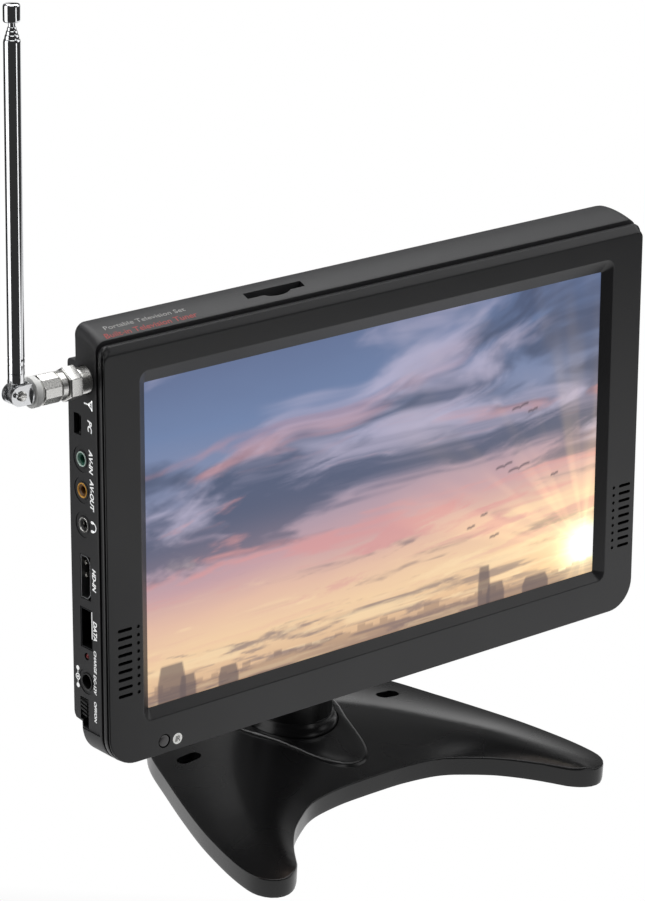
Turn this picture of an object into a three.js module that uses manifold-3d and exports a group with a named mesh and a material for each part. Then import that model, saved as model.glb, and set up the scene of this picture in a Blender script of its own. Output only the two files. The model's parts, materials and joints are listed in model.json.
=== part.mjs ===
// Portable ten-inch television on a swivelling desk stand, with a telescopic rod antenna.
// Units are millimetres, +Z is up, the screen faces -Y, and the origin lies on the surface
// that the stand rests on, on the axis of the stand's post.
import * as THREE from 'three';
import { mergeVertices } from 'three/addons/utils/BufferGeometryUtils.js';
import Module from 'manifold-3d';

const wasm = await Module();
wasm.setup();

// ---- Driving dimensions -------------------------------------------------------------------

const PICTURE = { width: 222.7, height: 125.3 };          // 10.1-inch, 16:9 picture
const PANEL = { width: 235.4, height: 143, depth: 4 };    // the bare display module
const SCREEN_AT = [0, -46.15, 131.3];                     // picture centre at rest
const LEAN = THREE.MathUtils.degToRad(4);                 // the set leans back at rest

const CASE_HALF = 131;                                    // half the case's width
const FACE = { front: -3, back: 0.7, bottom: -81.4, top: 79.9 };
const BEVEL_HALF = { x: 115.5, bottom: -66.4, top: 68 };  // outer edge of the sloped surround
const SHELL = { front: 1, back: 15.6, wall: 2.2, top: 84.9 };
const HUMP = { back: 19.8, bottom: -68, top: 71 };
const PORT_RECESS = 0.5;

const GAP = 0.3;                                          // fitting gap between pieces

const ANTENNA = { y: 9.6, z: 65.1, elbowX: -159.4, elbowZ: 65.6, lean: 0.78 };
const MAST_RADII = [3.05, 2.6, 2.15, 1.7, 1.25];
const MAST_WALL = 0.25;
const MAST_TOPS = [191.5, 193, 194.4, 195.7, 203.7];
const MAST_FEET = [73.5, 75.5, 77.5, 79.5, 81.5];

const BASE = { underside: 0.6, wallTop: 8.3, skin: 2.2, cavityTop: 6 };
const POST = { radius: 16.5, foot: 18.4, top: 92, bore: 13.5 };
const HINGE = { y: 2, z: 104, pin: 2.9, eyeRadius: 9 };   // tilt axis, above the base
const HINGE_IN_SET = { y: 49.9, z: -23.9 };               // the same axis in the set's frame

// The base's outline: half of a boomerang, from the inner arc round a leg to the back.
const HALF_OUTLINE = [
  [0, 4.7], [14.4, 4.4], [27.2, 2.6], [34.5, 0.3], [40.5, -3.2], [49.6, -9.8], [55.6, -15.8],
  [61.2, -22.6], [65.8, -29.4], [68.6, -33.8], [71.6, -36.9], [75, -39], [78.5, -39.8],
  [82, -39.1], [85, -36.8], [87, -33.2], [87.7, -28.6], [87.1, -19.7], [85.3, -8.7],
  [81.3, 8.8], [74.8, 29.7], [68.5, 47.8], [61.5, 66.9], [54.5, 78.6], [44.5, 87.4],
  [32, 93], [17, 96], [0, 96.8],
];
const POST_BEHIND = 55.3;                                 // the outline's own y of the post

// ---- Materials ----------------------------------------------------------------------------

function finish(color, roughness, metalness = 0) {
  return new THREE.MeshStandardMaterial({ color, roughness, metalness });
}

const FINISH = {
  bezel: finish(0x2b2b2d, 0.38),
  shell: finish(0x38383b, 0.6),
  stand: finish(0x1d1d1f, 0.3),
  picture: finish(0x8c8fa8, 0.25),
  chrome: finish(0xd9dadc, 0.08, 1),
  nickel: finish(0xb9b8b2, 0.28, 1),
  greyPlastic: finish(0x9a9a98, 0.6),
  steel: finish(0x8f9296, 0.4, 1),
  rubber: finish(0x161616, 0.9),
  board: finish(0x1f5a37, 0.55),
  pack: finish(0x3c5f9a, 0.5),
  tin: finish(0xb4b6b8, 0.35, 1),
  red: finish(0x8c1a1c, 0.3),
  green: finish(0x5d9a4a, 0.45),
  orange: finish(0xc86a2c, 0.45),
  insulator: finish(0x121214, 0.5),
  irWindow: finish(0x1a1418, 0.12),
};

// ---- Geometry helpers ---------------------------------------------------------------------

/** Turn a closed geometry into a solid for joining and cutting. */
function solid(geometry) {
  const bare = geometry.clone();
  for (const key of Object.keys(bare.attributes)) {
    if (key !== 'position') bare.deleteAttribute(key);
  }
  const merged = mergeVertices(bare, 1e-4);
  const mesh = new wasm.Mesh({
    numProp: 3,
    vertProperties: new Float32Array(merged.attributes.position.array),
    triVerts: new Uint32Array(merged.index.array),
  });
  mesh.merge();
  return new wasm.Manifold(mesh);
}

/** Turn a solid back into a geometry. */
function toGeometry(body) {
  const mesh = body.getMesh();
  const geometry = new THREE.BufferGeometry();
  geometry.setAttribute('position', new THREE.BufferAttribute(mesh.vertProperties, 3));
  geometry.setIndex(new THREE.BufferAttribute(mesh.triVerts, 1));
  geometry.computeVertexNormals();
  return geometry;
}

const join = (first, ...rest) => rest.reduce((body, next) => body.add(next), first);
const cut = (first, ...rest) => rest.reduce((body, next) => body.subtract(next), first);

/** A block between two corners. */
function block(x0, x1, y0, y1, z0, z1) {
  const geometry = new THREE.BoxGeometry(x1 - x0, y1 - y0, z1 - z0);
  geometry.translate((x0 + x1) / 2, (y0 + y1) / 2, (z0 + z1) / 2);
  return solid(geometry);
}

/** A round or many-sided bar along X, Y or Z from one station to another. */
function bar(axis, from, to, radius, at, sides = 24, turn = 0) {
  const geometry = new THREE.CylinderGeometry(radius, radius, to - from, sides);
  geometry.rotateY(turn);
  geometry.translate(0, (from + to) / 2, 0);
  if (axis === 'x') {
    geometry.rotateZ(-Math.PI / 2);
    geometry.translate(0, at[0], at[1]);
  } else if (axis === 'y') {
    geometry.translate(at[0], 0, at[1]);
  } else {
    geometry.rotateX(Math.PI / 2);
    geometry.translate(at[0], at[1], 0);
  }
  return solid(geometry);
}

/** A body of revolution about Z: profile points are [radius, height]. */
function turned(profile, sides = 32) {
  const points = profile.map(([r, z]) => new THREE.Vector2(r, z));
  const geometry = new THREE.LatheGeometry(points, sides);
  geometry.rotateX(Math.PI / 2);
  return volumeUp(geometry);
}

/** Make sure that a closed geometry's faces point outward. */
function volumeUp(geometry) {
  let body = solid(geometry);
  if (body.volume() < 0 || body.isEmpty()) {
    const flat = geometry.index ? geometry.toNonIndexed() : geometry;
    const p = flat.attributes.position;
    const turnedOver = new Float32Array(p.count * 3);
    for (let i = 0; i < p.count; i += 3) {
      [0, 2, 1].forEach((from, to) => {
        turnedOver[(i + to) * 3] = p.getX(i + from);
        turnedOver[(i + to) * 3 + 1] = p.getY(i + from);
        turnedOver[(i + to) * 3 + 2] = p.getZ(i + from);
      });
    }
    const flipped = new THREE.BufferGeometry();
    flipped.setAttribute('position', new THREE.BufferAttribute(turnedOver, 3));
    body = solid(flipped);
  }
  return body;
}

/** Points of a rectangle in X and Z with rounded corners, anticlockwise from lower left. */
function roundedOutline(x0, x1, z0, z1, lowRadius, highRadius, steps = 5,
  highLeft = highRadius) {
  const corners = [
    [x0 + lowRadius, z0 + lowRadius, lowRadius, Math.PI],
    [x1 - lowRadius, z0 + lowRadius, lowRadius, 1.5 * Math.PI],
    [x1 - highRadius, z1 - highRadius, highRadius, 0],
    [x0 + highLeft, z1 - highLeft, highLeft, 0.5 * Math.PI],
  ];
  const points = [];
  for (const [cx, cz, radius, start] of corners) {
    for (let i = 0; i <= steps; i += 1) {
      const angle = start + (i / steps) * (Math.PI / 2);
      points.push([cx + radius * Math.cos(angle), cz + radius * Math.sin(angle)]);
    }
  }
  return points;
}

/** Skin a body through rings of equal point counts and close both ends. */
function skinned(rings, capPlane) {
  const count = rings[0].length;
  const positions = rings.flat(2);
  const index = [];
  for (let level = 0; level + 1 < rings.length; level += 1) {
    for (let i = 0; i < count; i += 1) {
      const a = level * count + i;
      const b = level * count + ((i + 1) % count);
      index.push(a, b, b + count, a, b + count, a + count);
    }
  }
  const capPoints = (ring) => ring.map((p) => new THREE.Vector2(p[capPlane[0]], p[capPlane[1]]));
  const last = (rings.length - 1) * count;
  for (const [i, j, k] of THREE.ShapeUtils.triangulateShape(capPoints(rings[0]), [])) {
    index.push(k, j, i);
  }
  for (const [i, j, k] of THREE.ShapeUtils.triangulateShape(capPoints(rings.at(-1)), [])) {
    index.push(last + i, last + j, last + k);
  }
  const geometry = new THREE.BufferGeometry();
  geometry.setAttribute('position', new THREE.Float32BufferAttribute(positions, 3));
  geometry.setIndex(index);
  return volumeUp(geometry);
}

/** A body skinned along Y through rounded rectangles. */
function skinnedAlongY(stations) {
  const rings = stations.map(({ y, x, low, high, lowR, highR, leftR = highR }) =>
    roundedOutline(-x, x, low, high, lowR, highR, 5, leftR).map(([px, pz]) => [px, y, pz]));
  return skinned(rings, [0, 2]);
}

/** A prism of a flat outline in X and Y between two heights. */
function prism(outline, z0, z1) {
  const shape = new THREE.Shape(outline.map(([x, y]) => new THREE.Vector2(x, y)));
  const geometry = new THREE.ExtrudeGeometry(shape, { depth: z1 - z0, bevelEnabled: false });
  geometry.translate(0, 0, z0);
  return solid(geometry);
}

/** A prism of a flat outline in Y and Z, along X. */
function sidePrism(outline, x0, x1) {
  const shape = new THREE.Shape(outline.map(([y, z]) => new THREE.Vector2(y, z)));
  const geometry = new THREE.ExtrudeGeometry(shape, { depth: x1 - x0, bevelEnabled: false });
  geometry.rotateX(Math.PI / 2);
  geometry.rotateZ(Math.PI / 2);
  geometry.translate(x0, 0, 0);
  return solid(geometry);
}

/** Points of an upright slot outline with round ends. */
function slotOutline(centreA, centreB, halfA, halfB, steps = 6) {
  const radius = Math.min(halfA, halfB);
  const runA = halfA - radius;
  const runB = halfB - radius;
  const points = [];
  [[1, 1, 0], [-1, 1, 0.5], [-1, -1, 1], [1, -1, 1.5]].forEach(([sa, sb, start]) => {
    for (let i = 0; i <= steps; i += 1) {
      const angle = (start + (0.5 * i) / steps) * Math.PI;
      const point = [
        centreA + sa * runA + radius * Math.cos(angle),
        centreB + sb * runB + radius * Math.sin(angle),
      ];
      const before = points.at(-1);
      if (!before || Math.hypot(before[0] - point[0], before[1] - point[1]) > 1e-3) {
        points.push(point);
      }
    }
  });
  const [first, final] = [points[0], points.at(-1)];
  if (Math.hypot(first[0] - final[0], first[1] - final[1]) < 1e-3) points.pop();
  return points;
}

/** Put a finished solid into the scene as a named piece. */
function place(parent, name, body, material) {
  const mesh = new THREE.Mesh(toGeometry(body), material);
  mesh.name = name;
  parent.add(mesh);
  return mesh;
}

// ---- Scene groups -------------------------------------------------------------------------

const group = new THREE.Group();
const stand = new THREE.Group();
const set = new THREE.Group();
set.position.set(...SCREEN_AT);
set.rotation.x = -LEAN;
const mast = new THREE.Group();
mast.position.set(ANTENNA.elbowX, ANTENNA.y, ANTENNA.elbowZ);
mast.rotation.y = THREE.MathUtils.degToRad(ANTENNA.lean);
set.add(mast);
group.add(stand, set);

// ---- Stand: base --------------------------------------------------------------------------

/** The boomerang outline about the post, optionally drawn in by an even margin. */
function baseOutline(margin = 0) {
  const half = new THREE.SplineCurve(HALF_OUTLINE.map(([x, y]) => new THREE.Vector2(x, y)));
  const right = half.getSpacedPoints(46).map((p) => [Math.max(p.x, 0), p.y - POST_BEHIND]);
  const left = right.slice(1, -1).reverse().map(([x, y]) => [-x, y]);
  const loop = [...right, ...left];
  if (margin === 0) return loop;
  return loop.map((point, i) => {
    const before = loop[(i + loop.length - 1) % loop.length];
    const after = loop[(i + 1) % loop.length];
    const dx = after[0] - before[0];
    const dy = after[1] - before[1];
    const length = Math.hypot(dx, dy);
    return [point[0] - (dy / length) * margin, point[1] + (dx / length) * margin];
  });
}

/** Distance from a point to the base's edge. */
function edgeDistance(x, y, loop) {
  let nearest = Infinity;
  loop.forEach(([ax, ay], i) => {
    const [bx, by] = loop[(i + 1) % loop.length];
    const t = ((x - ax) * (bx - ax) + (y - ay) * (by - ay)) / ((bx - ax) ** 2 + (by - ay) ** 2);
    const s = Math.min(1, Math.max(0, t));
    nearest = Math.min(nearest, Math.hypot(x - ax - s * (bx - ax), y - ay - s * (by - ay)));
  });
  return nearest;
}

/** Height of the base's domed top: low at its wall, highest round the post. */
function baseHeight(x, y, loop) {
  const inward = Math.min(1, edgeDistance(x, y, loop) / 14);
  const dome = 1.9 * inward * (2 - inward);
  const swell = 2.9 * Math.exp(-(x * x + y * y) / 1400);
  return BASE.wallTop + dome + swell;
}

/** A slab whose top follows the base's height, raised by an extra amount. */
function domedSlab(loop, raise) {
  const nx = 34;
  const ny = 26;
  const positions = [];
  const x0 = -92;
  const y0 = -100;
  const stepX = 184 / nx;
  const stepY = 146 / ny;
  const inside = new THREE.Shape(loop.map(([x, y]) => new THREE.Vector2(x, y)));
  const polygon = inside.getPoints();
  const contains = (x, y) => {
    let odd = false;
    for (let i = 0, j = polygon.length - 1; i < polygon.length; j = i, i += 1) {
      const a = polygon[i];
      const b = polygon[j];
      if ((a.y > y) !== (b.y > y) && x < ((b.x - a.x) * (y - a.y)) / (b.y - a.y) + a.x) {
        odd = !odd;
      }
    }
    return odd;
  };
  for (let j = 0; j <= ny; j += 1) {
    for (let i = 0; i <= nx; i += 1) {
      const x = x0 + i * stepX;
      const y = y0 + j * stepY;
      const h = contains(x, y) ? baseHeight(x, y, loop) : BASE.wallTop;
      positions.push(x, y, h + raise);
    }
  }
  const layer = positions.length / 3;
  for (let k = 0; k < layer; k += 1) {
    positions.push(positions[3 * k], positions[3 * k + 1], -5);
  }
  const index = [];
  const at = (i, j) => j * (nx + 1) + i;
  for (let j = 0; j < ny; j += 1) {
    for (let i = 0; i < nx; i += 1) {
      const [a, b, c, d] = [at(i, j), at(i + 1, j), at(i + 1, j + 1), at(i, j + 1)];
      index.push(a, b, c, a, c, d);
      index.push(a + layer, c + layer, b + layer, a + layer, d + layer, c + layer);
    }
  }
  const wall = (a, b) => index.push(a, b + layer, b, a, a + layer, b + layer);
  for (let i = 0; i < nx; i += 1) {
    wall(at(i, 0), at(i + 1, 0));
    wall(at(i + 1, ny), at(i, ny));
  }
  for (let j = 0; j < ny; j += 1) {
    wall(at(nx, j), at(nx, j + 1));
    wall(at(0, j + 1), at(0, j));
  }
  const geometry = new THREE.BufferGeometry();
  geometry.setAttribute('position', new THREE.Float32BufferAttribute(positions, 3));
  geometry.setIndex(index);
  return volumeUp(geometry);
}

/** The raised tongue in front of the post, a rounded shield. */
function tongueOutline() {
  const half = new THREE.SplineCurve([
    [0, -38.6], [6, -37.6], [11.2, -33.4], [14.4, -27], [17.6, -18], [21.4, -8],
    [24.2, 1], [24.4, 10], [20, 19], [11, 25], [0, 27],
  ].map(([x, y]) => new THREE.Vector2(x, y)));
  const right = half.getSpacedPoints(18).map((p) => [Math.max(p.x, 0), p.y]);
  const left = right.slice(1, -1).reverse().map(([x, y]) => [-x, y]);
  return [...right, ...left];
}

const outline = baseOutline();
const floorPlan = prism(outline, BASE.underside, 40);
const holeAt = (side) => prism(slotOutline(51 * side, 0.7, 5.5, 3.3, 4), 2, 40);
const baseTop = join(
  floorPlan.intersect(domedSlab(outline, 0)),
  prism(tongueOutline(), 8, 40).intersect(domedSlab(outline, 0.9)),
);
const baseShell = cut(
  baseTop,
  prism(baseOutline(BASE.skin), -2, BASE.cavityTop),
  bar('z', 10.3, 40, POST.foot + 0.4, [0, 0], 40),
  bar('z', 5, 20, 7.3, [0, 0], 24),
  holeAt(1),
  holeAt(-1),
);
place(stand, 'base_shell', baseShell, FINISH.stand);
place(stand, 'base_plate', prism(baseOutline(3), 1.2, 4.2), FINISH.steel);

const FEET = { centre: [0, 0], tip_left: [-77.5, -85.5], tip_right: [77.5, -85.5],
  back_left: [-37, 26], back_right: [37, 26] };
for (const [spot, [x, y]] of Object.entries(FEET)) {
  const radius = spot === 'centre' ? 9 : 5;
  place(stand, `foot_${spot}`, bar('z', 0, 0.9, radius, [x, y], 20), FINISH.rubber);
}

// ---- Stand: post and tilt hinge -----------------------------------------------------------

const postBody = turned([
  [0, 86], [POST.bore, 86], [POST.bore, 21], [4.5, 17], [4.5, 4.6], [6.9, 4.6], [6.9, 10.6],
  [18.1, 10.6], [POST.foot, 11.2], [POST.foot, 14.1], [17.9, 15.2], [16.9, 17.6],
  [POST.radius, 18.6], [POST.radius, 90.6], [15.4, POST.top], [0, POST.top],
], 36);
const earOutline = [
  ...slotOutline(HINGE.y, HINGE.z, 9.5, 9.5, 6).filter(([, z]) => z > HINGE.z - 0.5),
  [HINGE.y - 9.5, 88], [HINGE.y + 9.5, 88],
];
const ears = [[-15.2, -7.8], [7.8, 15.2]].map(([x0, x1]) => sidePrism(earOutline, x0, x1));
const hingeAxis = [HINGE.y, HINGE.z];
const pinBore = bar('x', -30, 30, HINGE.pin + GAP, hingeAxis, 20);
place(stand, 'post', cut(join(postBody, ...ears), pinBore), FINISH.stand);
place(stand, 'swivel_washer', cut(
  bar('z', 4.7, 5.6, 12, [0, 0], 24),
  bar('z', 3, 8, 7.2, [0, 0], 24),
), FINISH.steel);
place(stand, 'tilt_bolt', join(
  bar('x', -18.6, 20, HINGE.pin, hingeAxis, 20),
  bar('x', -18.8, -15.5, 5.2, hingeAxis, 24),
), FINISH.steel);
place(stand, 'tilt_nut', cut(bar('x', 15.5, 18.9, 5.2, hingeAxis, 6), pinBore), FINISH.steel);

// The arm and plate that carry the set from the hinge, in the set's own frame.
const seat = { y0: HUMP.back + GAP, y1: HUMP.back + GAP + 3 };
const armAxis = [HINGE_IN_SET.y, HINGE_IN_SET.z];
const plateOutline = roundedOutline(-28, 28, -52, 4, 5, 5, 4);
const platePrism = skinned(
  [seat.y0, seat.y1].map((y) => plateOutline.map(([x, z]) => [x, y, z])),
  [0, 2],
);
const screwSpots = [[-21, -45], [21, -45], [-21, -3], [21, -3]];
const bracket = cut(
  join(
    platePrism,
    block(-7.4, 7.4, seat.y1 - 1, HINGE_IN_SET.y - 4, HINGE_IN_SET.z - 6, HINGE_IN_SET.z + 6),
    block(-2.5, 2.5, seat.y1 - 1, seat.y1 + 9, HINGE_IN_SET.z - 8, HINGE_IN_SET.z + 22),
    bar('x', -7.4, 7.4, HINGE.eyeRadius, armAxis, 28),
  ),
  bar('x', -9, 9, HINGE.pin + GAP, armAxis, 20),
  ...screwSpots.map(([x, z]) => bar('y', seat.y0 - 1, seat.y1 + 1, 2, [x, z], 14)),
);
place(set, 'tilt_bracket', bracket, FINISH.stand);
screwSpots.forEach(([x, z], i) => {
  const head = bar('y', seat.y1 + GAP, seat.y1 + 2.2, 3.6, [x, z], 16);
  const slots = [
    block(x - 2.2, x + 2.2, seat.y1 + 1.2, seat.y1 + 4, z - 0.45, z + 0.45),
    block(x - 0.45, x + 0.45, seat.y1 + 1.2, seat.y1 + 4, z - 2.2, z + 2.2),
  ];
  const shank = bar('y', HUMP.back - 4, seat.y1 + 1, 1.6, [x, z], 12);
  place(set, `bracket_screw_${i + 1}`, cut(join(head, shank), ...slots), FINISH.steel);
});

// ---- Set: front bezel ---------------------------------------------------------------------

const bezelBody = skinnedAlongY([
  { y: FACE.front, x: CASE_HALF - 1.6, low: FACE.bottom + 1.5, high: 76.4, lowR: 10.6, highR: 2.4 },
  { y: -2.1, x: CASE_HALF - 0.4, low: FACE.bottom + 0.4, high: 78.8, lowR: 11.6, highR: 3.2 },
  { y: -1.2, x: CASE_HALF, low: FACE.bottom, high: 79.8, lowR: 12, highR: 3.6 },
  { y: FACE.back, x: CASE_HALF, low: FACE.bottom, high: FACE.top, lowR: 12, highR: 3.6 },
]);
const halfW = PICTURE.width / 2;
const halfH = PICTURE.height / 2;
const surround = skinned([
  roundedOutline(-BEVEL_HALF.x - 1, BEVEL_HALF.x + 1, BEVEL_HALF.bottom - 1,
    BEVEL_HALF.top + 1, 3.8, 3.8, 3).map(([x, z]) => [x, FACE.front - 0.7, z]),
  roundedOutline(-halfW, halfW, -halfH, halfH, 0.4, 0.4, 3).map(([x, z]) => [x, 0, z]),
], [0, 2]);
const opening = block(-halfW, halfW, -2, 3, -halfH, halfH);
const rebate = block(-118.2, 118.2, 0, 3, -72, 72);
const grilles = [];
for (let row = 0; row < 9; row += 1) {
  const z = -28 - 3.2 * row;
  grilles.push(block(-126.7, -120.3, -4, 2, z - 0.55, z + 0.55));
  grilles.push(block(122, 128.2, -4, 2, z - 0.55, z + 0.55));
}
const irBore = bar('y', -4, 2, 2.7, [-106.3, -76.2], 20);
place(set, 'front_bezel', cut(bezelBody, surround, opening, rebate, irBore, ...grilles),
  FINISH.bezel);
place(set, 'ir_window', bar('y', FACE.front + 0.15, 1.8, 2.4, [-106.3, -76.2], 20),
  FINISH.irWindow);
place(set, 'lcd_panel', block(-PANEL.width / 2, PANEL.width / 2, GAP, GAP + PANEL.depth,
  -PANEL.height / 2, PANEL.height / 2), FINISH.picture);

// ---- Set: rear shell ----------------------------------------------------------------------

/** Height of the case's crowned top at a depth behind the face. */
const crown = (y) => SHELL.top - 4.6 * (1 - (y - SHELL.front) / 13) ** 1.7;
const shellBody = skinnedAlongY([
  ...[SHELL.front, 2.5, 4.5, 7, 10, 13.6].map((y) => ({
    y, x: CASE_HALF, low: FACE.bottom, high: crown(y), lowR: 12, highR: 4 + 0.45 * (y - 1),
    leftR: 4 })),
  { y: 15, x: CASE_HALF - 0.7, low: -80.4, high: 84.4, lowR: 12.2, highR: 10, leftR: 4.2 },
  { y: SHELL.back, x: CASE_HALF - 2.2, low: -78.8, high: 82.9, lowR: 11, highR: 9, leftR: 4 },
]);
const humpBody = skinnedAlongY([
  { y: 12, x: CASE_HALF, low: HUMP.bottom, high: HUMP.top, lowR: 1, highR: 1 },
  { y: HUMP.back - 1.4, x: CASE_HALF, low: HUMP.bottom + 0.8, high: HUMP.top, lowR: 1, highR: 1 },
  { y: HUMP.back, x: CASE_HALF - 0.9, low: HUMP.bottom + 3, high: HUMP.top - 1.2, lowR: 1,
    highR: 1 },
]);
const inner = CASE_HALF - SHELL.wall;
const cavity = skinnedAlongY([
  { y: 0, x: inner, low: -79.2, high: 77.6, lowR: 10, highR: 3 },
  { y: 13.3, x: inner, low: -79, high: 82.4, lowR: 10.4, highR: 8, leftR: 4 },
]);
const humpCavity = block(-inner, inner, 12, HUMP.back - SHELL.wall, HUMP.bottom + 2,
  HUMP.top - 1.6);

/** An upright slot through the left wall, centred at y and z. */
const leftSlot = (y, z, halfY, halfZ) => sidePrism(slotOutline(y, z, halfY, halfZ, 3), -135, -125);
const leftBox = (y, z, halfY, halfZ) => block(-135, -125, y - halfY, y + halfY, z - halfZ, z + halfZ);
const leftBore = (y, z, radius) => bar('x', -135, -125, radius, [y, z], 24);

const PORTS = {
  pc: [14.1, 47.5], avIn: [12.1, 34.7], avOut: [11.9, 22.9], phones: [11.5, 9.9],
  hd: [11, -10.2], data: [10.9, -30], led: [11.1, -41], power: [11.3, -50.9],
  toggle: [13.2, -63.6],
};
const BUTTONS = ['power', 'source', 'menu', 'channel_up', 'channel_down', 'volume_up',
  'volume_down'];
const BUTTON_Y = 8.6;
const buttonZ = (i) => 48 - 11 * i;
const CARD_SLOT = { x0: -60.2, x1: -33.5, y0: 5.4, y1: 8.5 };

const recess = sidePrism([[3, -70], [30, -70], [30, 77.8], [15, 77.8], [8, 76], [5, 74.6],
  [3.6, 72.6], [3, 70]], -CASE_HALF - 3, -CASE_HALF + PORT_RECESS);
const scoop = new THREE.SphereGeometry(9, 20, 10);
scoop.scale(0.78, 0.28, 0.34);
scoop.translate(-46.4, CARD_SLOT.y0 + 0.4, 84.2);
const rearShell = cut(
  join(shellBody, humpBody),
  cavity,
  humpCavity,
  recess,
  leftBore(ANTENNA.y, ANTENNA.z, 5.3),
  leftSlot(...PORTS.pc, 2.2, 4.5),
  leftBore(...PORTS.avIn, 3.5),
  leftBore(...PORTS.avOut, 3.5),
  leftBore(...PORTS.phones, 3.5),
  leftBox(...PORTS.hd, 3.1, 8.5),
  leftBox(...PORTS.data, 3.7, 7.9),
  leftBore(...PORTS.led, 1.4),
  leftBore(...PORTS.power, 3.5),
  leftBox(...PORTS.toggle, 2.9, 5.8),
  block(CARD_SLOT.x0, CARD_SLOT.x1, CARD_SLOT.y0, CARD_SLOT.y1, 70, 90),
  solid(scoop),
  ...BUTTONS.map((name, i) =>
    sidePrism(slotOutline(BUTTON_Y, buttonZ(i), 1.8, 3.8, 4), 125, 135)),
  ...screwSpots.map(([x, z]) => bar('y', 15, 25, 1.9, [x, z], 12)),
);
place(set, 'rear_shell', rearShell, FINISH.shell);

// ---- Set: sockets, switch and buttons -----------------------------------------------------

const WALL = -CASE_HALF + PORT_RECESS;                   // outer face of the port panel

/** A round socket: a housing behind the wall with a collar in the wall's hole. */
function roundSocket([y, z], bore, centrePin) {
  const body = cut(
    join(
      block(-128.4, -114.5, y - 4, y + 3.9, z - 4.3, z + 4.3),
      bar('x', WALL - 0.2, -127, 3.1, [y, z], 24),
    ),
    bar('x', WALL - 2, -120, bore, [y, z], 20),
  );
  return centrePin ? join(body, bar('x', -129.4, -119, 0.9, [y, z], 12)) : body;
}
place(set, 'jack_av_in', roundSocket(PORTS.avIn, 1.8), FINISH.green);
place(set, 'jack_av_out', roundSocket(PORTS.avOut, 1.8), FINISH.orange);
place(set, 'jack_headphones', roundSocket(PORTS.phones, 1.8), FINISH.nickel);
place(set, 'jack_power_in', roundSocket(PORTS.power, 2.6, true), FINISH.insulator);

/** A flat socket: a sleeve in the wall's opening with a contact tongue inside. */
function flatSocket([y, z], halfY, halfZ, skin, tongueY, tongueHalf) {
  const sleeve = cut(
    block(WALL + 0.1, -117, y - halfY, y + halfY, z - halfZ, z + halfZ),
    block(WALL - 2, -119, y - halfY + skin, y + halfY - skin, z - halfZ + skin, z + halfZ - skin),
  );
  const tongue = block(WALL + 1.6, -118, y + tongueY - tongueHalf, y + tongueY + tongueHalf,
    z - halfZ + skin + 1.2, z + halfZ - skin - 1.2);
  return join(sleeve, tongue);
}
place(set, 'port_hd', flatSocket(PORTS.hd, 2.8, 8.2, 0.55, 0, 0.6), FINISH.nickel);
place(set, 'port_data', flatSocket(PORTS.data, 3.4, 7.6, 0.6, 1.1, 0.9), FINISH.nickel);
place(set, 'port_pc', cut(
  join(
    block(-128.4, -119, PORTS.pc[0] - 2.6, PORTS.pc[0] + 2.6, PORTS.pc[1] - 5, PORTS.pc[1] + 5),
    sidePrism(slotOutline(...PORTS.pc, 1.85, 4.15, 3), WALL, -128),
  ),
  sidePrism(slotOutline(...PORTS.pc, 1.2, 3.4, 3), WALL - 2, -123),
), FINISH.insulator);
place(set, 'charge_led', bar('x', WALL + 0.1, -124, 1.1, PORTS.led, 14), FINISH.red);

const [toggleY, toggleZ] = PORTS.toggle;
const ridges = [-1.6, 0, 1.6].map((dz) =>
  block(WALL - 1, WALL + 0.2, toggleY - 1.9, toggleY + 1.9, toggleZ + 1.8 + dz - 0.4,
    toggleZ + 1.8 + dz + 0.4));
place(set, 'power_slider', join(
  block(WALL, -126.2, toggleY - 2.3, toggleY + 2.3, toggleZ - 1.4, toggleZ + 5.2),
  block(-128.2, -126.6, toggleY - 4.6, toggleY - 0.4, toggleZ - 1.4, toggleZ + 6),
  ...ridges,
), FINISH.insulator);

BUTTONS.forEach((name, i) => {
  const z = buttonZ(i);
  place(set, `button_${name}`, join(
    sidePrism(slotOutline(BUTTON_Y, z, 1.45, 3.45, 4), 128, CASE_HALF + 0.9),
    block(126.9, 128.4, BUTTON_Y - 2.4, BUTTON_Y + 2.4, z - 4.5, z + 4.5),
  ), FINISH.shell);
});

const { x0: slotX0, x1: slotX1, y0: slotY0, y1: slotY1 } = CARD_SLOT;
place(set, 'card_reader', cut(
  block(slotX0 - 1.5, slotX1 + 1.5, slotY0 - 0.8, slotY1 + 0.3, 59, 78),
  block(slotX0 + 1, slotX1 - 1, slotY0 + 0.3, slotY1 - 0.4, 61.5, 90),
), FINISH.tin);

// ---- Set: inside --------------------------------------------------------------------------

place(set, 'main_board', block(-128, -30, 5.3, 6.9, -69, 58), FINISH.board);
place(set, 'tuner_can', block(-121, -90, 7.9, 16, 54, 68.5), FINISH.tin);
place(set, 'battery_pack', block(34, 118, 7.9, 16.9, -62, -6), FINISH.pack);
place(set, 'speaker_left', block(-128.3, -118.5, 1, 4.9, -56, -26), FINISH.insulator);
place(set, 'speaker_right', block(118.5, 128.3, 1, 4.9, -56, -26), FINISH.insulator);

// ---- Antenna ------------------------------------------------------------------------------

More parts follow.
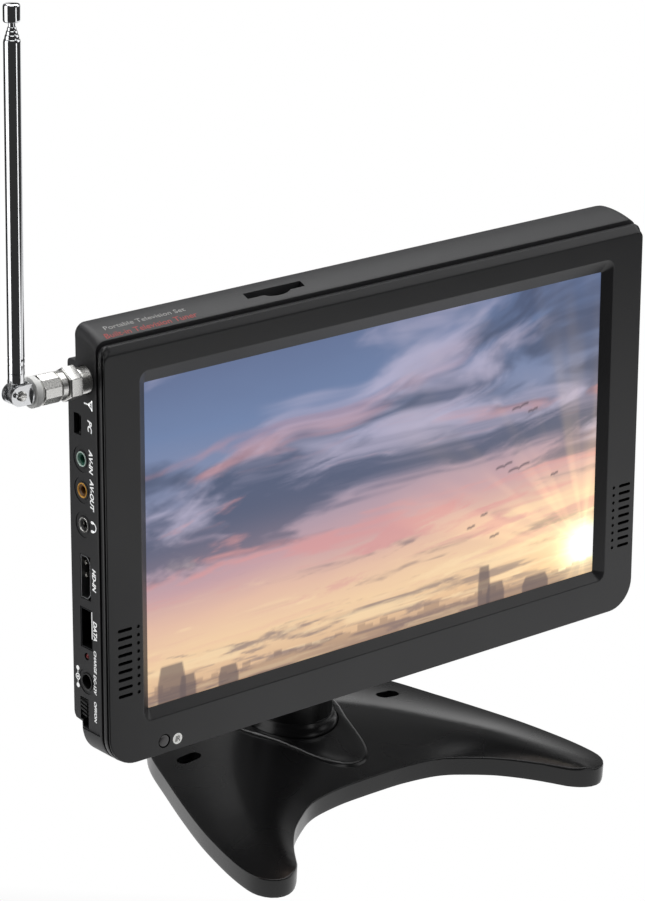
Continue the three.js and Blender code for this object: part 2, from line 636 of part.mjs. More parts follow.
const plugAxis = [ANTENNA.y, ANTENNA.z];
place(set, 'antenna_socket', cut(
  join(
    bar('x', -134.4, -127.6, 4.9, plugAxis, 24),
    bar('x', -128.4, -126.4, 5.5, plugAxis, 24),
    bar('x', -127, -122.4, 2.4, plugAxis, 16),
  ),
  bar('x', -140, -131, 3.4, plugAxis, 20),
), FINISH.nickel);
place(set, 'antenna_nut', join(
  bar('x', -140.1, -134.7, 6.6, plugAxis, 6, Math.PI / 6),
  bar('x', -136, -131.6, 3.1, plugAxis, 20),
  bar('x', -143.2, -140, 2.9, plugAxis, 20),
), FINISH.nickel);
place(set, 'antenna_grip', cut(
  join(
    bar('x', -144, -140.4, 5.35, plugAxis, 24),
    bar('x', -151.3, -143, 5.75, plugAxis, 10),
  ),
  bar('x', -143.5, -139, 3.2, plugAxis, 20),
), FINISH.nickel);
place(set, 'antenna_ring', cut(
  bar('x', -154.3, -151.6, 5.7, plugAxis, 28),
  bar('x', -156, -149, 2.3, plugAxis, 16),
), FINISH.greyPlastic);

const elbow = [ANTENNA.elbowX, ANTENNA.elbowZ];
const forkCheek = (y0, y1) => join(
  bar('y', y0, y1, 3.8, elbow, 20),
  block(ANTENNA.elbowX, -154.4, y0, y1, ANTENNA.elbowZ - 3.6, ANTENNA.elbowZ + 3.6),
);
const midY = ANTENNA.y;
place(set, 'antenna_fork', cut(
  join(
    forkCheek(midY - 4.1, midY - 2.3),
    forkCheek(midY + 2.3, midY + 4.1),
    block(-155.1, -154.6, midY - 4, midY + 4, ANTENNA.elbowZ - 3.6, ANTENNA.elbowZ + 3.6),
    bar('x', -155, -151.8, 2, plugAxis, 16),
  ),
  bar('y', 0, 20, 1.4, elbow, 14),
), FINISH.chrome);
place(set, 'elbow_pin', join(
  bar('y', midY - 4.9, midY + 4.9, 1.1, elbow, 14),
  bar('y', midY - 5.1, midY - 4.4, 2, elbow, 14),
), FINISH.nickel);

/** One tube of the mast, open at both ends, about the elbow's own axis system. */
function mastTube(i) {
  const outer = MAST_RADII[i];
  const bottom = MAST_FEET[i] - ANTENNA.elbowZ;
  const top = MAST_TOPS[i] - ANTENNA.elbowZ;
  const sides = 24;
  return cut(
    bar('z', bottom, top, outer, [0, 0], sides),
    bar('z', bottom + (i === 0 ? 0.6 : -1), top + 1, outer - MAST_WALL, [0, 0], sides),
  );
}
const rootBottom = MAST_FEET[0] - ANTENNA.elbowZ;
const mastRoot = join(
  mastTube(0),
  bar('z', 5.2, rootBottom + 0.4, MAST_RADII[0], [0, 0], 24),
  block(-3, 3, -2, 2, 0, 5.6),
  bar('y', -2, 2, 3.3, [0, 0], 20),
);
place(mast, 'mast_1', cut(mastRoot, bar('y', -6, 6, 1.4, [0, 0], 14)), FINISH.chrome);
for (let i = 1; i < 4; i += 1) {
  place(mast, `mast_${i + 1}`, mastTube(i), FINISH.chrome);
}
const tipTop = MAST_TOPS[4] - ANTENNA.elbowZ;
place(mast, 'mast_5', join(
  bar('z', MAST_FEET[4] - ANTENNA.elbowZ, tipTop - 3, MAST_RADII[4], [0, 0], 16),
  bar('z', tipTop - 6.6, tipTop, 3.05, [0, 0], 24),
), FINISH.chrome);

export default group;
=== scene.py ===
"""Looks of a ten-inch portable television on a swivelling desk stand.

Every piece is drawn in millimetres in the frame of the part that carries it, placed on the
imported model's bodies, and given a procedural finish named for its real material.
"""

import json
import logging
import math
from dataclasses import dataclass
from enum import Enum
from typing import Any, Sequence

import bmesh
import bpy
import numpy as np
from mathutils import Matrix, Vector
from mathutils.geometry import delaunay_2d_cdt
from numpy.typing import NDArray


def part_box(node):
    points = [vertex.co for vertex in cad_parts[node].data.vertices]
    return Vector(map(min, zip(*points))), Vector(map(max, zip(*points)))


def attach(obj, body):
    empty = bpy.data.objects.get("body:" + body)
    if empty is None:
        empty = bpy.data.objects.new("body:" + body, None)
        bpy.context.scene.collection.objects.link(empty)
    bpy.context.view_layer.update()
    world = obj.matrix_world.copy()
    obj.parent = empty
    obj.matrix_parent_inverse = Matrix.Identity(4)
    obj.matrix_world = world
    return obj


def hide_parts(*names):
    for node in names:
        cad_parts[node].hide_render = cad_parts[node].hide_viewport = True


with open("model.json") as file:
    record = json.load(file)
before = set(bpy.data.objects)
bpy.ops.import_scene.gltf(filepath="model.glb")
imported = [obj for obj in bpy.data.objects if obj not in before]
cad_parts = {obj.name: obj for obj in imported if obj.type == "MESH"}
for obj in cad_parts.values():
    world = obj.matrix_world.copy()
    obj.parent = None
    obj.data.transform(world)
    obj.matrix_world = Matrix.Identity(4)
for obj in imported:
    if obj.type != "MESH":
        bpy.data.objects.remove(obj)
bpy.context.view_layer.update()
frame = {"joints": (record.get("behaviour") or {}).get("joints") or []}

Array = NDArray[np.float64]
LOG = logging.getLogger("television")
MM = 0.001
RELIEF = 8  # Grain and marks are too fine to show, so they are drawn this many times deeper.


# ---- Frames --------------------------------------------------------------------------------


@dataclass(frozen=True)
class Place:
    """A right-handed frame that shapes are drawn in, in millimetres.

    Attributes:
        origin: the frame's origin in the row frame, in metres.
        turn: the frame's axes as the columns of a rotation.
    """

    origin: Vector
    turn: Matrix

    def world(self, points: Array) -> Array:
        """Points of this frame in the row frame."""
        return points @ (np.array(self.turn).T * MM) + np.array(self.origin)

    def turned(self, at: Sequence[float], degrees: float, axis: str) -> "Place":
        """A frame inside this one, turned about one of its axes."""
        origin = Vector(self.world(np.array([at], float))[0])
        return Place(origin, self.turn @ Matrix.Rotation(math.radians(degrees), 3, axis))


def set_place() -> Place:
    """The set's own frame: origin at the picture's centre, X right, Y back and Z up the screen.

    Returns:
        The frame, from the power switch's sliding axis and the display panel's box.
    """
    joint = next(j for j in frame["joints"] if j["name"] == "power_slide")
    up = Vector(joint["axis"]).normalized()
    right = Vector((1, 0, 0))
    back = up.cross(right).normalized()
    low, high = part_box("lcd_panel")
    centre = (low + high) / 2
    turn = Matrix((right, back, up)).transposed()
    return Place(centre - back * 2.3 * MM, turn)


ROW = Place(Vector((0, 0, 0)), Matrix.Identity(3))
SET = set_place()
ELBOW = (-159.4, 9.6, 65.6)
MAST = SET.turned(ELBOW, 0.78, "Y")


class Body(Enum):
    """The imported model's bodies that pieces ride on."""

    BASE = "base"
    COLUMN = "column"
    SET = "set"
    SWITCH = "power_switch"
    PLUG = "antenna_plug"


# ---- Shapes --------------------------------------------------------------------------------


@dataclass
class Shape:
    """Points and faces of a shape being drawn, in millimetres."""

    points: Array
    faces: list[list[int]]

    def __add__(self, other: "Shape") -> "Shape":
        """Both shapes together, not joined.

        Args:
            other: the shape that is added.

        Returns:
            The two as one shape.
        """
        shift = len(self.points)
        faces = self.faces + [[i + shift for i in f] for f in other.faces]
        return Shape(np.concatenate([self.points, other.points]), faces)

    def moved(self, x: float = 0, y: float = 0, z: float = 0) -> "Shape":
        """The shape shifted."""
        return Shape(self.points + np.array([x, y, z], float), self.faces)

    def laid(self, axis: str) -> "Shape":
        """A shape drawn about Z, with Z laid along another axis."""
        order = {"x": [2, 1, 0], "y": [0, 2, 1]}[axis]
        return Shape(self.points[:, order], self.faces)


def together(shapes: Sequence[Shape]) -> Shape:
    """Several shapes as one.

    Args:
        shapes: one or more shapes.

    Returns:
        The shapes in one list of points and faces.
    """
    whole = shapes[0]
    for shape in shapes[1:]:
        whole = whole + shape
    return whole


def loft(rings: Array, wrap: bool = False, caps: bool = True) -> Shape:
    """A skin through rings of equal counts: face (i, j) joins ring i to ring i + 1.

    Args:
        rings: rings by points by 3.
        wrap: whether the last ring joins the first.
        caps: whether the two end rings are closed, when they don't join.

    Returns:
        The skin.
    """
    m, n = rings.shape[:2]
    i = np.arange(m if wrap else m - 1)[:, None]
    j = np.arange(n)[None, :]
    k = (i + 1) % m
    quads = np.stack([i * n + j, i * n + (j + 1) % n, k * n + (j + 1) % n, k * n + j], -1)
    faces = quads.reshape(-1, 4).tolist()
    if caps and not wrap:
        faces += [list(range(n))[::-1], list(range((m - 1) * n, m * n))]
    return Shape(rings.reshape(-1, 3).astype(float), faces)


def turned(profile: Sequence[Sequence[float]], sides: int = 48) -> Shape:
    """A body of revolution: (r, h) sweeps to (r cos a, r sin a, h) for a round the circle.

    Args:
        profile: radius and height of each point, from the axis or closed on itself.
        sides: how many steps go round.

    Returns:
        The turned body about Z.
    """
    p = np.array(profile, float)
    a = np.arange(sides) * 2 * math.pi / sides
    r, h = p[:, :1], p[:, 1:2]
    rings = np.stack([r * np.cos(a), r * np.sin(a), h + 0 * a], -1)
    closed = p[0, 0] > 0 and p[-1, 0] > 0
    return loft(rings, wrap=closed, caps=False)


def ring_of(x: float, low: float, high: float, low_r: float, high_r: float,
            left_r: float | None = None, steps: int = 10) -> Array:
    """A rounded rectangle: each corner is centre + r (cos a, sin a) over a quarter turn.

    Args:
        x: half the width.
        low: lower edge.
        high: upper edge.
        low_r: radius of the two lower corners.
        high_r: radius of the upper right corner.
        left_r: radius of the upper left corner, the same when it isn't given.
        steps: steps in each corner.

    Returns:
        Rows of x and z, anticlockwise from the lower left.
    """
    left_r = high_r if left_r is None else left_r
    a = np.linspace(0, math.pi / 2, steps + 1)
    corners = [
        (low_r - x, low + low_r, low_r, math.pi),
        (x - low_r, low + low_r, low_r, 1.5 * math.pi),
        (x - high_r, high - high_r, high_r, 0.0),
        (left_r - x, high - left_r, left_r, 0.5 * math.pi),
    ]
    arcs = [np.stack([cx + r * np.cos(s + a), cz + r * np.sin(s + a)], 1)
            for cx, cz, r, s in corners]
    return np.concatenate(arcs)


def stacked(stations: Sequence[Sequence[float]], steps: int = 10) -> Array:
    """Rounded rectangles standing at stations along Y.

    Args:
        stations: y, half width, low, high, low radius, high radius and, where it differs,
            upper left radius of each ring.
        steps: steps in each corner.

    Returns:
        Rings by points by 3.
    """
    rings = []
    for y, *rest in stations:
        flat = ring_of(*rest, steps=steps)
        rings.append(np.stack([flat[:, 0], np.full(len(flat), y), flat[:, 1]], 1))
    return np.array(rings)


def block(x0: float, x1: float, y0: float, y1: float, z0: float, z1: float) -> Shape:
    """A block between two corners.

    Args:
        x0: lowest x.
        x1: highest x.
        y0: lowest y.
        y1: highest y.
        z0: lowest z.
        z1: highest z.

    Returns:
        The block.
    """
    base = np.array([[x0, y0], [x1, y0], [x1, y1], [x0, y1]], float)
    rings = np.stack([np.column_stack([base, np.full(4, z)]) for z in (z0, z1)])
    return loft(rings)


def capsule(half_a: float, half_b: float, steps: int = 8) -> Array:
    """A slot outline with round ends, about the origin."""
    r = 0.999 * min(half_a, half_b)  # Just under half, so that each side keeps some length.
    return ring_of(half_a, -half_b, half_b, r, r, steps=steps)


def prism(outline: Array, h0: float, h1: float, plane: str = "xy") -> Shape:
    """A prism of a flat outline.

    Args:
        outline: rows of two coordinates.
        h0: where it starts across the plane.
        h1: where it ends.
        plane: the outline's two axes, "xy", "xz" or "yz".

    Returns:
        The prism.
    """
    n = len(outline)
    rings = []
    for h in (h0, h1):
        across = np.full(n, h)
        columns = {
            "xy": [outline[:, 0], outline[:, 1], across],
            "xz": [outline[:, 0], across, outline[:, 1]],
            "yz": [across, outline[:, 0], outline[:, 1]],
        }[plane]
        rings.append(np.stack(columns, 1))
    return loft(np.array(rings))


def smooth_line(points: Sequence[Sequence[float]], count: int) -> Array:
    """A uniform Catmull-Rom curve through points, walked in even steps of length.

    Args:
        points: rows of two coordinates.
        count: how many points come back.

    Returns:
        The walked points.
    """
    p = np.array(points, float)
    p = np.vstack([2 * p[0] - p[1], p, 2 * p[-1] - p[-2]])
    t = np.linspace(0, 1, 24, endpoint=False)[:, None]
    runs = []
    for a, b, c, d in zip(p, p[1:], p[2:], p[3:]):
        v0, v1 = (c - a) / 2, (d - b) / 2
        runs.append((2 * b - 2 * c + v0 + v1) * t**3 + (3 * c - 3 * b - 2 * v0 - v1) * t**2
                    + v0 * t + b)
    line = np.vstack([*runs, p[-2:-1]])
    s = np.concatenate([[0], np.cumsum(np.linalg.norm(np.diff(line, axis=0), axis=1))])
    at = np.linspace(0, s[-1], count)
    return np.stack([np.interp(at, s, line[:, k]) for k in (0, 1)], 1)


def mirrored(half: Array) -> Array:
    """A closed loop from its half on the +X side, whose ends lie on X = 0.

    Args:
        half: rows of x and y.

    Returns:
        The whole loop.
    """
    right = np.column_stack([np.maximum(half[:, 0], 0), half[:, 1]])
    left = right[1:-1][::-1] * np.array([-1, 1])
    return np.concatenate([right, left])


def drawn_in(loop: Array, margin: float) -> Array:
    """A loop moved inward by an even margin, along each point's own normal.

    Args:
        loop: rows of x and y, anticlockwise.
        margin: how far it moves.

    Returns:
        The moved loop.
    """
    d = np.roll(loop, -1, 0) - np.roll(loop, 1, 0)
    d /= np.linalg.norm(d, axis=1)[:, None]
    return loop + margin * np.stack([-d[:, 1], d[:, 0]], 1)


def edge_distance(points: Array, loop: Array) -> Array:
    """Distance from each point to a loop: the least over its sides of |p - a - t (b - a)|.

    Args:
        points: rows of x and y.
        loop: rows of x and y.

    Returns:
        One distance a point.
    """
    nearest = np.full(len(points), np.inf)
    for a, b in zip(loop, np.roll(loop, -1, 0)):
        d = b - a
        t = np.clip((points - a) @ d / max(d @ d, 1e-12), 0, 1)
        nearest = np.minimum(nearest, np.linalg.norm(points - a - t[:, None] * d, axis=1))
    return nearest


def inside(points: Array, loop: Array) -> NDArray[np.bool_]:
    """Whether each point lies in a loop, by the crossings of a ray along X.

    Args:
        points: rows of x and y.
        loop: rows of x and y.

    Returns:
        One truth value a point.
    """
    odd = np.zeros(len(points), bool)
    for (ax, ay), (bx, by) in zip(loop, np.roll(loop, -1, 0)):
        spans = (ay > points[:, 1]) != (by > points[:, 1])
        with np.errstate(divide="ignore", invalid="ignore"):
            cross = ax + (points[:, 1] - ay) / (by - ay) * (bx - ax)
        odd ^= spans & (points[:, 0] < cross)
    return odd


def flat_net(outer: Array, holes: Sequence[Array], lines: Sequence[Array],
             spacing: float, threads: Sequence[Array] = ()) -> tuple[Array, list[list[int]]]:
    """A net of triangles over a flat region, following given loops.

    Args:
        outer: the region's outline.
        holes: outlines that are left open.
        lines: further loops that the net's edges follow.
        spacing: spacing of the points between.
        threads: open lines that the net's edges follow.

    Returns:
        The points as rows of x and y, and the triangles.
    """
    low, high = outer.min(0), outer.max(0)
    gx, gy = np.meshgrid(np.arange(low[0], high[0], spacing),
                         np.arange(low[1], high[1], spacing * 0.87))
    gx[1::2] += spacing / 2
    grid = np.stack([gx.ravel(), gy.ravel()], 1)
    keep = inside(grid, outer)
    loops = [outer, *holes, *lines]
    for loop in loops:
        keep &= edge_distance(grid, loop) > 0.45 * spacing
    for thread in threads:
        doubled = np.concatenate([thread, thread[-2:0:-1]])
        keep &= edge_distance(grid, doubled) > 0.45 * spacing
    for hole in holes:
        keep &= ~inside(grid, hole)
    points, edges = [grid[keep]], []
    start = int(keep.sum())
    for loop in loops:
        points.append(loop)
        n = len(loop)
        edges += [(start + i, start + (i + 1) % n) for i in range(n)]
        start += n
    for thread in threads:
        points.append(thread)
        edges += [(start + i, start + i + 1) for i in range(len(thread) - 1)]
        start += len(thread)
    verts, _, faces, *_ = delaunay_2d_cdt(
        [Vector(p) for p in np.concatenate(points)], edges, [], 0, 1e-5)
    net = np.array([v[:] for v in verts])
    middle = np.array([net[list(f)].mean(0) for f in faces])
    good = inside(middle, outer)
    for hole in holes:
        good &= ~inside(middle, hole)
    return net, [list(f) for f, ok in zip(faces, good) if ok]


def band(lower: Array, upper: Array) -> Shape:
    """A strip of faces between two loops of equal counts."""
    return loft(np.stack([lower, upper]), caps=False)


def at_height(loop: Array, z: Any) -> Array:
    """A flat loop stood at a height."""
    return np.column_stack([loop, np.broadcast_to(z, (len(loop),))])


def welded(shape: Shape, points: Array, name: str) -> bpy.types.Mesh:
    """A mesh with its equal points joined and its faces outward.

    Args:
        shape: the faces.
        points: the points in the units that the mesh should have.
        name: the mesh's name.

    Returns:
        The mesh.
    """
    mesh = bpy.data.meshes.new(name)
    mesh.from_pydata(points.tolist(), [], shape.faces)
    work = bmesh.new()
    work.from_mesh(mesh)
    size = float(np.ptp(points, axis=0).max())
    bmesh.ops.remove_doubles(work, verts=work.verts, dist=size * 2e-6)
    bmesh.ops.recalc_face_normals(work, faces=work.faces)
    work.to_mesh(mesh)
    work.free()
    return mesh


def carve(body: Shape, add: Sequence[Shape] = (), cut: Sequence[Shape] = ()) -> Shape:
    """A solid with others joined on and cut away.

    Args:
        body: the first solid.
        add: solids joined to it.
        cut: solids taken from the result.

    Returns:
        The carved solid.
    """
    made: list[bpy.types.Object] = []

    def solid(shape: Shape) -> bpy.types.Object:
        """An object of a shape that the modifiers can use.

        Args:
            shape: the solid.

        Returns:
            The object, which is deleted at the end.
        """
        o = bpy.data.objects.new("tool", welded(shape, shape.points, "tool"))
        bpy.context.scene.collection.objects.link(o)
        made.append(o)
        return o

    target = solid(body)
    steps = [("UNION", s) for s in add]
    if cut:
        steps.append(("DIFFERENCE", together(list(cut))))
    for operation, shape in steps:
        modifier = target.modifiers.new("step", "BOOLEAN")
        modifier.operation = operation
        modifier.solver = "EXACT"
        modifier.use_self = operation == "DIFFERENCE"
        modifier.object = solid(shape)
    graph = bpy.context.evaluated_depsgraph_get()
    result = bpy.data.meshes.new_from_object(target.evaluated_get(graph))
    points = np.empty(len(result.vertices) * 3)
    result.vertices.foreach_get("co", points)
    faces = [list(p.vertices) for p in result.polygons]
    bpy.data.meshes.remove(result)
    for o in made:
        data = o.data
        bpy.data.objects.remove(o)
        bpy.data.meshes.remove(data)
    return Shape(points.reshape(-1, 3), faces)


def lettering(text: str, height: float, slant: float = 0.3, weight: float = 0.0,
              spacing: float = 1.0) -> Shape:
    """Raised print of a line of text, centred on the origin, X along it and Y up it.

    Args:
        text: the line.
        height: height of its capitals.
        slant: how far it leans.
        weight: how much thicker its strokes are.
        spacing: spacing of its letters.

    Returns:
        The letters as thin closed solids.
    """
    curve = bpy.data.curves.new("line", "FONT")
    curve.body = text
    curve.size = height / 0.7
    curve.shear = slant
    curve.offset = weight
    curve.space_character = spacing
    curve.extrude = 0.02
    curve.resolution_u = 3
    curve.align_x, curve.align_y = "CENTER", "CENTER"
    o = bpy.data.objects.new("line", curve)
    bpy.context.scene.collection.objects.link(o)
    graph = bpy.context.evaluated_depsgraph_get()
    mesh = bpy.data.meshes.new_from_object(o.evaluated_get(graph))
    points = np.empty(len(mesh.vertices) * 3)
    mesh.vertices.foreach_get("co", points)
    faces = [list(p.vertices) for p in mesh.polygons]
    bpy.data.objects.remove(o)
    bpy.data.curves.remove(curve)
    bpy.data.meshes.remove(mesh)
    points = points.reshape(-1, 3)
    points[:, :2] -= (points[:, :2].max(0) + points[:, :2].min(0)) / 2
    return Shape(points, faces)


def fitted(flat: Shape, length: float) -> Shape:
    """A line of print stretched or squeezed to a length."""
    scale = length / np.ptp(flat.points[:, 0])
    return Shape(flat.points * np.array([scale, 1, 1]), flat.faces)


# ---- Finishes ------------------------------------------------------------------------------


def linear(code: str) -> tuple[float, float, float, float]:
    """An sRGB hex colour as linear light.

    Args:
        code: six hex digits.

    Returns:
        Red, green, blue and 1.
    """
    s = [int(code[i:i + 2], 16) / 255 for i in (0, 2, 4)]
    r, g, b = (c / 12.92 if c <= 0.04045 else ((c + 0.055) / 1.055) ** 2.4 for c in s)
    return r, g, b, 1.0


def node(tree: bpy.types.NodeTree, kind: str, settings: dict[str, Any] | None = None,
         **inputs: Any) -> bpy.types.Node:
    """Add a shader node with its settings and links.

    Args:
        tree: the material's node tree.
        kind: the node's type without its ShaderNode prefix.
        settings: properties of the node.
        **inputs: a value or an output socket for each input, spaces written as underscores.

    Returns:
        The node.
    """
    made = tree.nodes.new("ShaderNode" + kind)
    for key, value in (settings or {}).items():
        setattr(made, key, value)
    for key, value in inputs.items():
        name = int(key[1:]) if key[0] == "i" and key[1:].isdigit() else key.replace("_", " ")
        socket = made.inputs[name]
        if isinstance(value, bpy.types.NodeSocket):
            tree.links.new(value, socket)
        else:
            socket.default_value = value
    return made


@dataclass(frozen=True)
class Finish:
    """A surface of one real material.

    Attributes:
        name: the material's name.
        colour: its sRGB hex colour.
        roughness: how blurred its reflections are, 0 to 1.
    """

    name: str
    colour: str
    roughness: float

    def surface(self, tree: bpy.types.NodeTree) -> bpy.types.Node:
        """The shader of the surface."""
        return node(tree, "BsdfPrincipled", Base_Color=linear(self.colour),
                    Roughness=self.roughness)

    def material(self) -> bpy.types.Material:
        """The Blender material, made once for each finish.

        Returns:
            The material.
        """
        known = bpy.data.materials.get(self.name)
        if known:
            return known
        material = bpy.data.materials.new(self.name)
        material.use_nodes = True
        tree = material.node_tree
        tree.nodes.clear()
        shader = self.surface(tree)
        node(tree, "OutputMaterial", Surface=shader.outputs[0])
        return material

    def noise(self, tree: bpy.types.NodeTree, size_mm: float, detail: float = 2,
              stretch: Sequence[float] = (1, 1, 1)) -> bpy.types.NodeSocket:
        """Noise over the piece's own coordinates.

        Args:
            tree: the material's node tree.
            size_mm: size of its features.
            detail: octaves.
            stretch: how many times finer it is along each axis.

        Returns:
            The noise's factor socket.
        """
        place = node(tree, "TexCoord").outputs["Object"]
        if tuple(stretch) != (1, 1, 1):
            place = node(tree, "Mapping", Vector=place, Scale=stretch).outputs[0]
        return node(tree, "TexNoise", Vector=place, Scale=1 / (size_mm * MM),
                    Detail=detail).outputs[0]


@dataclass(frozen=True)
class MouldedPlastic(Finish):
    """Injection-moulded plastic whose mould leaves a fine spark-eroded grain.

    The real grain is about 0.05 mm, too fine to show, so it is drawn 0.25 to 0.6 mm wide.

    Attributes:
        grain_mm: size of the grain.
        grain_height_mm: height of the grain.
        patch: how much the roughness drifts over the part, in patches of about 26 mm.
        lift: how much the grain's peaks catch light, as a change of colour.
        ior: index of refraction.
    """

    grain_mm: float = 0.5
    grain_height_mm: float = 0.01
    patch: float = 0.04
    lift: float = 0.0
    ior: float = 1.5

    def surface(self, tree: bpy.types.NodeTree) -> bpy.types.Node:
        """Principled shader with grain in its bump and a slow drift in its roughness.

        Args:
            tree: the material's node tree.

        Returns:
            The shader.
        """
        grain = self.noise(tree, self.grain_mm, 3)
        drift = node(tree, "MapRange", Value=self.noise(tree, 26, 1),
                     To_Min=self.roughness - self.patch, To_Max=self.roughness + self.patch)
        bump = node(tree, "Bump", Height=grain, Distance=self.grain_height_mm * MM * RELIEF,
                    Strength=0.5)
        colour = linear(self.colour)
        shader = node(tree, "BsdfPrincipled", Base_Color=colour,
                      Roughness=drift.outputs[0], Normal=bump.outputs[0], IOR=self.ior)
        if self.lift:
            pale = tuple(min(1, c * (1 + self.lift)) for c in colour[:3]) + (1.0,)
            mix = node(tree, "Mix", {"data_type": "RGBA"}, i0=grain, i6=colour, i7=pale)
            tree.links.new(mix.outputs[2], shader.inputs["Base Color"])
        return shader


@dataclass(frozen=True)
class PlatedMetal(Finish):
    """Plated or bare metal with faint polishing marks.

    Attributes:
        mark_mm: size of the marks, or 0 for none.
        stretch: how many times finer the marks are along each axis.
        depth: strength of the marks' bump.
    """

    mark_mm: float = 0.0
    stretch: tuple[float, float, float] = (1, 1, 1)
    depth: float = 0.05

    def surface(self, tree: bpy.types.NodeTree) -> bpy.types.Node:
        """Metallic Principled shader.

        Args:
            tree: the material's node tree.

        Returns:
            The shader.
        """
        shader = node(tree, "BsdfPrincipled", Base_Color=linear(self.colour), Metallic=1.0,
                      Roughness=self.roughness)
        if self.mark_mm:
            marks = self.noise(tree, self.mark_mm, 2, self.stretch)
            bump = node(tree, "Bump", Height=marks, Distance=0.02 * MM,
                        Strength=self.depth * RELIEF)
            tree.links.new(bump.outputs[0], shader.inputs["Normal"])
            drift = node(tree, "MapRange", Value=marks, To_Min=self.roughness * 0.7,
                         To_Max=self.roughness * 1.4)
            tree.links.new(drift.outputs[0], shader.inputs["Roughness"])
        return shader


@dataclass(frozen=True)
class PrintedInk(Finish):
    """Flat screen-printed ink.

    Attributes:
        painted_glow: painted glow in the ink's own colour, standing in for the light that an
            optical brightening agent gives back, as a share of its colour.
    """

    painted_glow: float = 0.0

    def surface(self, tree: bpy.types.NodeTree) -> bpy.types.Node:
        """Matt shader.

        Args:
            tree: the material's node tree.

        Returns:
            The shader.
        """
        # The emission is painted glow in the ink's own colour.
        return node(tree, "BsdfPrincipled", Base_Color=linear(self.colour),
                    Roughness=self.roughness, Emission_Color=linear(self.colour),
                    Emission_Strength=self.painted_glow)


@dataclass(frozen=True)
class TintedLens(Finish):
    """Deep-dyed glossy polycarbonate, as over a sensor or a lamp.

    Attributes:
        glow: light given off, as a share of its colour.
    """

    glow: float = 0.0

    def surface(self, tree: bpy.types.NodeTree) -> bpy.types.Node:
        """Glossy coated shader.

        Args:
            tree: the material's node tree.

        Returns:
            The shader.
        """
        return node(tree, "BsdfPrincipled", Base_Color=linear(self.colour),
                    Roughness=self.roughness, Coat_Weight=0.6, Coat_Roughness=0.03,
                    Emission_Color=linear(self.colour), Emission_Strength=self.glow)


@dataclass(frozen=True)
class LitDisplay(Finish):
    """A backlit liquid-crystal panel whose picture is painted on its points.

    Attributes:
        strength: brightness of the backlight.
    """

    strength: float = 1.0

    def surface(self, tree: bpy.types.NodeTree) -> bpy.types.Node:
        """Dark polariser with the picture as its own light.

        Args:
            tree: the material's node tree.

        Returns:
            The shader.
        """
        paint = node(tree, "Attribute", {"attribute_name": "picture"})
        return node(tree, "BsdfPrincipled", Base_Color=linear(self.colour),
                    Roughness=self.roughness, Emission_Color=paint.outputs["Color"],
                    Emission_Strength=self.strength)


# Black ABS from a lightly textured mould: dark grey with soft, broad highlights.
BEZEL_ABS = MouldedPlastic("abs_bezel_semi_gloss", "1b1b1d", 0.36, 0.35, 0.006, 0.05)
# Spark-eroded ABS: an even matt grain whose peaks catch light, so that it looks paler.
CASE_ABS = MouldedPlastic("abs_case_spark_eroded", "232325", 0.5, 0.45, 0.015, 0.05, 0.2)
# ABS from a nearly polished mould: deep black with long satin gradients over its curves.
STAND_ABS = MouldedPlastic("abs_stand_satin", "131314", 0.27, 0.4, 0.003, 0.04, ior=1.42)
# Bare inner mouldings, keys and the switch: black and without shine.
INNER_ABS = MouldedPlastic("abs_black_matt", "0c0c0d", 0.6, 0.4, 0.01)
# Acetal: a milky, waxy pale grey.
GREY_PLASTIC = MouldedPlastic("pom_grey_ring", "e3e3e1", 0.5, 0.3, 0.004)
# Dyed ABS collars that code the sockets, and darker copies of the same plastics for the linings
# inside them: painted shade in the sockets' mouths.
GREEN_PLASTIC = MouldedPlastic("abs_green_collar", "dbf3e8", 0.38, 0.3, 0.004)
ORANGE_PLASTIC = MouldedPlastic("abs_orange_collar", "f6b64c", 0.38, 0.3, 0.004)
GREEN_PLASTIC_PAINTED_SHADE = MouldedPlastic("abs_green_painted_shade_lining", "1d5a47", 0.4, 0.3, 0.004)
ORANGE_PLASTIC_PAINTED_SHADE = MouldedPlastic("abs_orange_painted_shade_lining", "6b4a26", 0.4, 0.3, 0.004)
# Glass-filled nylon: black with a dull gloss.
INSULATOR = MouldedPlastic("nylon_black_insulator", "0d0d0f", 0.42, 0.3, 0.005)
# Silicone: black, dusty and without highlights.
RUBBER = MouldedPlastic("silicone_rubber_black", "131313", 0.85, 0.6, 0.02)
# Woven acoustic cloth: the darkest surface, only a trace of threads.
SPEAKER_CLOTH = MouldedPlastic("speaker_cloth_black", "050505", 0.95, 0.25, 0.04)
# Solder mask over glass cloth: green, slightly wavy gloss.
BOARD = MouldedPlastic("fr4_solder_mask_green", "1d5a38", 0.35, 1.4, 0.01, 0.08)
# Heat-shrunk film: blue and glossy, gently wrinkled.
WRAP = MouldedPlastic("pvc_battery_wrap_blue", "2f55a0", 0.32, 3.0, 0.02)
# Zinc casting with a chrome flash: bright but slightly blurred.
CHROMED_CASTING = PlatedMetal("chromed_zinc_casting", "e6e7e9", 0.2)
# Drawn and chromed tube: mirror-bright with faint marks along its length.
CHROME = PlatedMetal("chromed_brass_tube", "e6e7e9", 0.07, 1.5, (8, 8, 0.6), 0.01)
# Nickel over turned brass: warm white with fine turning marks round it.
NICKEL = PlatedMetal("nickel_plated_brass", "e8e7e4", 0.27, 0.8, (1, 4, 4), 0.03)
# Stamped tin sleeves: grey metal, the second one lying in the shade of its mouth.
DULL_TIN = PlatedMetal("tinned_sleeve_dull", "8f9092", 0.4)
DARK_TIN = PlatedMetal("tinned_sleeve_shaded", "3a3b3d", 0.45)
# Tinned spring contacts: small bright glints.
CONTACT = PlatedMetal("tinned_bronze_contact", "d9d7cf", 0.25)
# Zinc-plated steel: blue-grey with a cloudy sheen.
STEEL = PlatedMetal("zinc_plated_steel", "a4a7ab", 0.34, 1.2)
# Rolled tinplate: pale, with marks along the rolling.
TINPLATE = PlatedMetal("tinplate_shield", "b9babb", 0.3, 2.0, (1, 1, 6))
